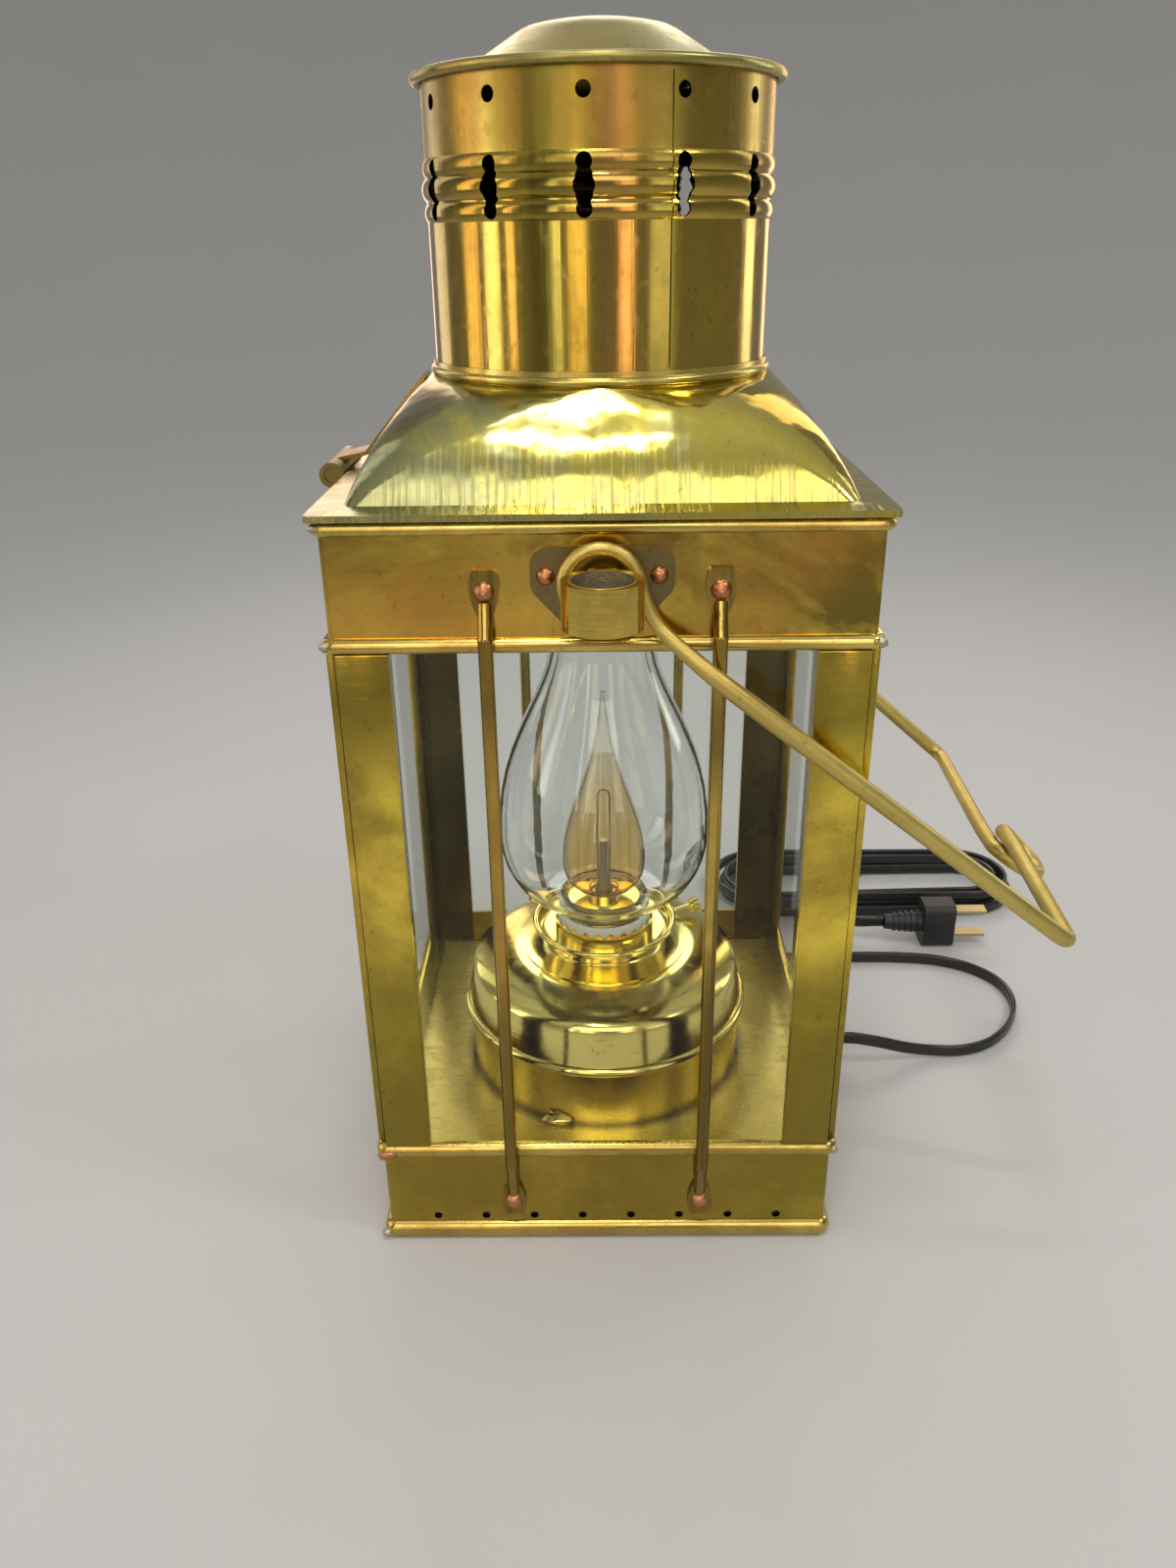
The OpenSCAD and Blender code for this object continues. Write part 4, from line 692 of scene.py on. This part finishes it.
def spline(points, n):
    out = []
    for i in range(len(points) - 1):
        a = points[max(i - 1, 0)]
        b = points[i]
        c = points[i + 1]
        d = points[min(i + 2, len(points) - 1)]
        for k in range(n):
            t = k / n
            out.append(0.5 * (2 * b + t * (c - a) + t * t * (2 * a - 5 * b + 4 * c - d)
                              + t ** 3 * (3 * b - 3 * c + d - a)))
    return out + [points[-1]]


def vectors(rows):
    return [Vector(row) * MM for row in rows]


def ease(t):
    c = max(0.0, min(1.0, t))
    return c * c * (3 - 2 * c)


def hank_points():
    near = HANK_START[0]
    far = near + HANK_RUN
    mid = HANK_START[1] + HANK_R
    first_bend = RUN_MARKS
    run_back = first_bend + BEND_MARKS
    second_bend = run_back + RUN_MARKS
    points = []
    for k in range(int((2 * TURNS_IN + TURNS_UP) * TURN_STEPS) + 1):
        turn = k / TURN_STEPS
        went_in = max(0, min(TURNS_IN - STRAIGHT, turn - STRAIGHT))
        went_out = max(0, min(TURNS_IN - STRAIGHT, turn - TURNS_IN - TURNS_UP))
        r = HANK_R - HANK_PITCH * (went_in - went_out)
        z = HANK_Z + LAYER_RISE * ease((turn - TURNS_IN) / TURNS_UP)
        mark = (k % TURN_STEPS) * TURN_MARKS / TURN_STEPS
        if mark < first_bend:
            x = near + HANK_RUN * mark / RUN_MARKS
            y = mid - r
        elif mark < run_back:
            a = math.pi * (mark - first_bend) / BEND_MARKS
            x = far + r * math.sin(a)
            y = mid - r * math.cos(a)
        elif mark < second_bend:
            x = far - HANK_RUN * (mark - run_back) / RUN_MARKS
            y = mid + r
        else:
            a = math.pi * (mark - second_bend) / BEND_MARKS
            x = near - r * math.sin(a)
            y = mid + r * math.cos(a)
        points.append((x, y, z))
    return points


def twin_section(count):
    section = []
    for k in range(count):
        a = 2 * math.pi * k / count
        c = math.cos(a)
        s = math.sin(a)
        groove = 1 - GROOVE_DEPTH * math.exp(-((s / GROOVE_WIDTH) ** 2))
        across = math.copysign(abs(c) ** CORE_SQUARE, c) * groove
        section.append((across * CORD_T / 2 * MM, s * CORD_W / 2 * MM))
    return section


# The flex swept along its path, standing on edge
def swept(name, path, section):
    verts = []
    faces = []
    normal = Vector((0, 1, 0))
    count = len(section)
    last = len(path) - 1
    for i, p in enumerate(path):
        d = (path[min(i + 1, last)] - path[max(i - 1, 0)]).normalized()
        normal = (normal - normal.dot(d) * d).normalized()
        side = d.cross(normal)
        verts += [p + x * normal + y * side for x, y in section]
    for i in range(last):
        for k in range(count):
            a = i * count + k
            b = i * count + (k + 1) % count
            faces.append((a, b, b + count, a + count))
    faces.append(tuple(range(count))[::-1])
    faces.append(tuple(last * count + k for k in range(count)))
    return add_mesh(name, verts, faces, mat_cord)


hank = hank_points()
cord_path = spline(vectors(LEAD), CORD_STEPS)
cord_path += vectors(hank)[1:]
cord_path += spline(vectors([hank[-1]] + TAIL), CORD_STEPS)[1:]
mains_cord = swept("mains_cord", cord_path, twin_section(CORD_POINTS))
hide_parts("cord_lead", "cord_hank", "cord_tail")

inner_path = spline(vectors(INNER), INNER_STEPS)
inner_cord = swept("inner_cord", inner_path, twin_section(INNER_POINTS))
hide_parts("inner_lead")

# Stage, in metres
FLOOR_R = 0.9
SWEEP_R = 1.3
WALL_TOP = 1.8
STAGE_POINTS = 72


# Round floor with a wall that sweeps up all about it
def make_stage():
    s = Shader("pale_floor")
    s.surface("Base Color", s.mix(s.noise(6, 3, 0.5), (0.54, 0.545, 0.55), (0.57, 0.57, 0.57)))
    s.surface("Roughness", 0.75)
    s.surface("Specular IOR Level", 0.3)
    profile = [(0.0, 0.0), (0.5, 0.0), (FLOOR_R, 0.0)]
    for degrees in range(10, 91, 10):
        a = math.radians(degrees)
        profile.append((FLOOR_R + SWEEP_R * math.sin(a), SWEEP_R - SWEEP_R * math.cos(a)))
    profile.append((FLOOR_R + SWEEP_R, WALL_TOP))
    verts = []
    for r, z in profile:
        for k in range(STAGE_POINTS):
            a = 2 * math.pi * k / STAGE_POINTS
            verts.append((r * math.sin(a), -r * math.cos(a), z))
    faces = []
    for i in range(len(profile) - 1):
        for k in range(STAGE_POINTS):
            a = i * STAGE_POINTS + k
            b = i * STAGE_POINTS + (k + 1) % STAGE_POINTS
            c = b + STAGE_POINTS
            d = a + STAGE_POINTS
            faces.append((a, b, c, d) if i else (a, c, d))
    mesh = bpy.data.meshes.new("floor")
    mesh.from_pydata(verts, [], faces)
    floor = bpy.data.objects.new("floor", mesh)
    for face in mesh.polygons:
        face.use_smooth = True
    scene.collection.objects.link(floor)
    mesh.materials.append(s.mat)


make_stage()


# Light, in metres and watts: small lamps above and at the right, broad ones front and rear, strips all about
def area_lamp(name, place, target, size, power, colour, fan=180):
    data = bpy.data.lights.new(name, "AREA")
    data.shape = "RECTANGLE"
    data.size, data.size_y = size
    data.energy = power
    data.color = colour
    data.spread = math.radians(fan)
    lamp = bpy.data.objects.new(name, data)
    lamp.location = place
    lamp.rotation_euler = (Vector(target) - Vector(place)).to_track_quat("-Z", "Y").to_euler()
    lamp.visible_camera = False
    scene.collection.objects.link(lamp)


LAMP_TONE = (1.0, 0.98, 0.94)
BROAD_FAN = 110
area_lamp("lamp_over", (-0.05, -0.16, 1.2), (0, -0.05, 0.2), (0.18, 0.05), 1.3, LAMP_TONE)
area_lamp("lamp_over_front", (-0.05, -0.44, 1.2), (0, -0.1, 0.2), (0.18, 0.05), 1.3, LAMP_TONE)
area_lamp("lamp_right", (0.75, -0.35, 1.1), (0, 0, 0.2), (0.24, 0.10), 2.2, LAMP_TONE)
area_lamp("lamp_front", (0.0, -1.15, 1.0), (0, 0, 0.1), (1.0, 0.6), 1.5, (1.0, 0.99, 0.97), BROAD_FAN)
area_lamp("lamp_rear", (0.0, 1.15, 1.0), (0, 0, 0.1), (0.8, 0.5), 1.5, (1.0, 0.98, 0.95), BROAD_FAN)

# Turn from the front in degrees, width, power and tone of each strip
STRIPS = [
    (-92, 0.24, 0.45, "warm"), (-74, 0.22, 0.60, "white"), (-59, 0.11, 0.26, "pink"),
    (-28, 0.11, 0.30, "white"), (-14, 0.22, 0.42, "warm"), (17, 0.16, 0.34, "pink"),
    (40, 0.30, 0.25, "white"), (117, 0.22, 0.60, "white"), (150, 0.20, 0.45, "warm"),
    (-132, 0.36, 0.40, "white"), (-163, 0.15, 0.30, "pink"),
]
TONES = {"warm": (1.0, 0.70, 0.42), "pink": (1.0, 0.66, 0.52), "white": (1.0, 0.98, 0.92)}
STRIP_R = 1.08
STRIP_Z = 0.62
STRIP_HIGH = 0.94
STRIP_FAN = 100
STRIP_TARGET = (0, 0, 0.56)
for turn, width, power, tone in STRIPS:
    a = math.radians(turn)
    place = (STRIP_R * math.sin(a), -STRIP_R * math.cos(a), STRIP_Z)
    area_lamp("strip_%d" % turn, place, STRIP_TARGET, (width, STRIP_HIGH), power, TONES[tone], STRIP_FAN)

# Grey of the room by height, from the horizon to straight up
ROOM = [(0.0, (0.14, 0.14, 0.14)), (0.45, (0.30, 0.30, 0.29)), (1.0, (0.74, 0.73, 0.70))]
ROOM_STRENGTH = 0.8


def make_world():
    world = bpy.data.worlds.new("room")
    scene.world = world
    world.use_nodes = True
    tree = world.node_tree
    back = next(n for n in tree.nodes if n.type == "BACKGROUND")
    coords = tree.nodes.new("ShaderNodeTexCoord")
    split = tree.nodes.new("ShaderNodeSeparateXYZ")
    ramp = tree.nodes.new("ShaderNodeValToRGB")
    set_stops(ramp.color_ramp, ROOM)
    tree.links.new(coords.outputs["Generated"], split.inputs["Vector"])
    tree.links.new(split.outputs["Z"], ramp.inputs["Fac"])
    tree.links.new(ramp.outputs["Color"], back.inputs["Color"])
    back.inputs["Strength"].default_value = ROOM_STRENGTH


make_world()
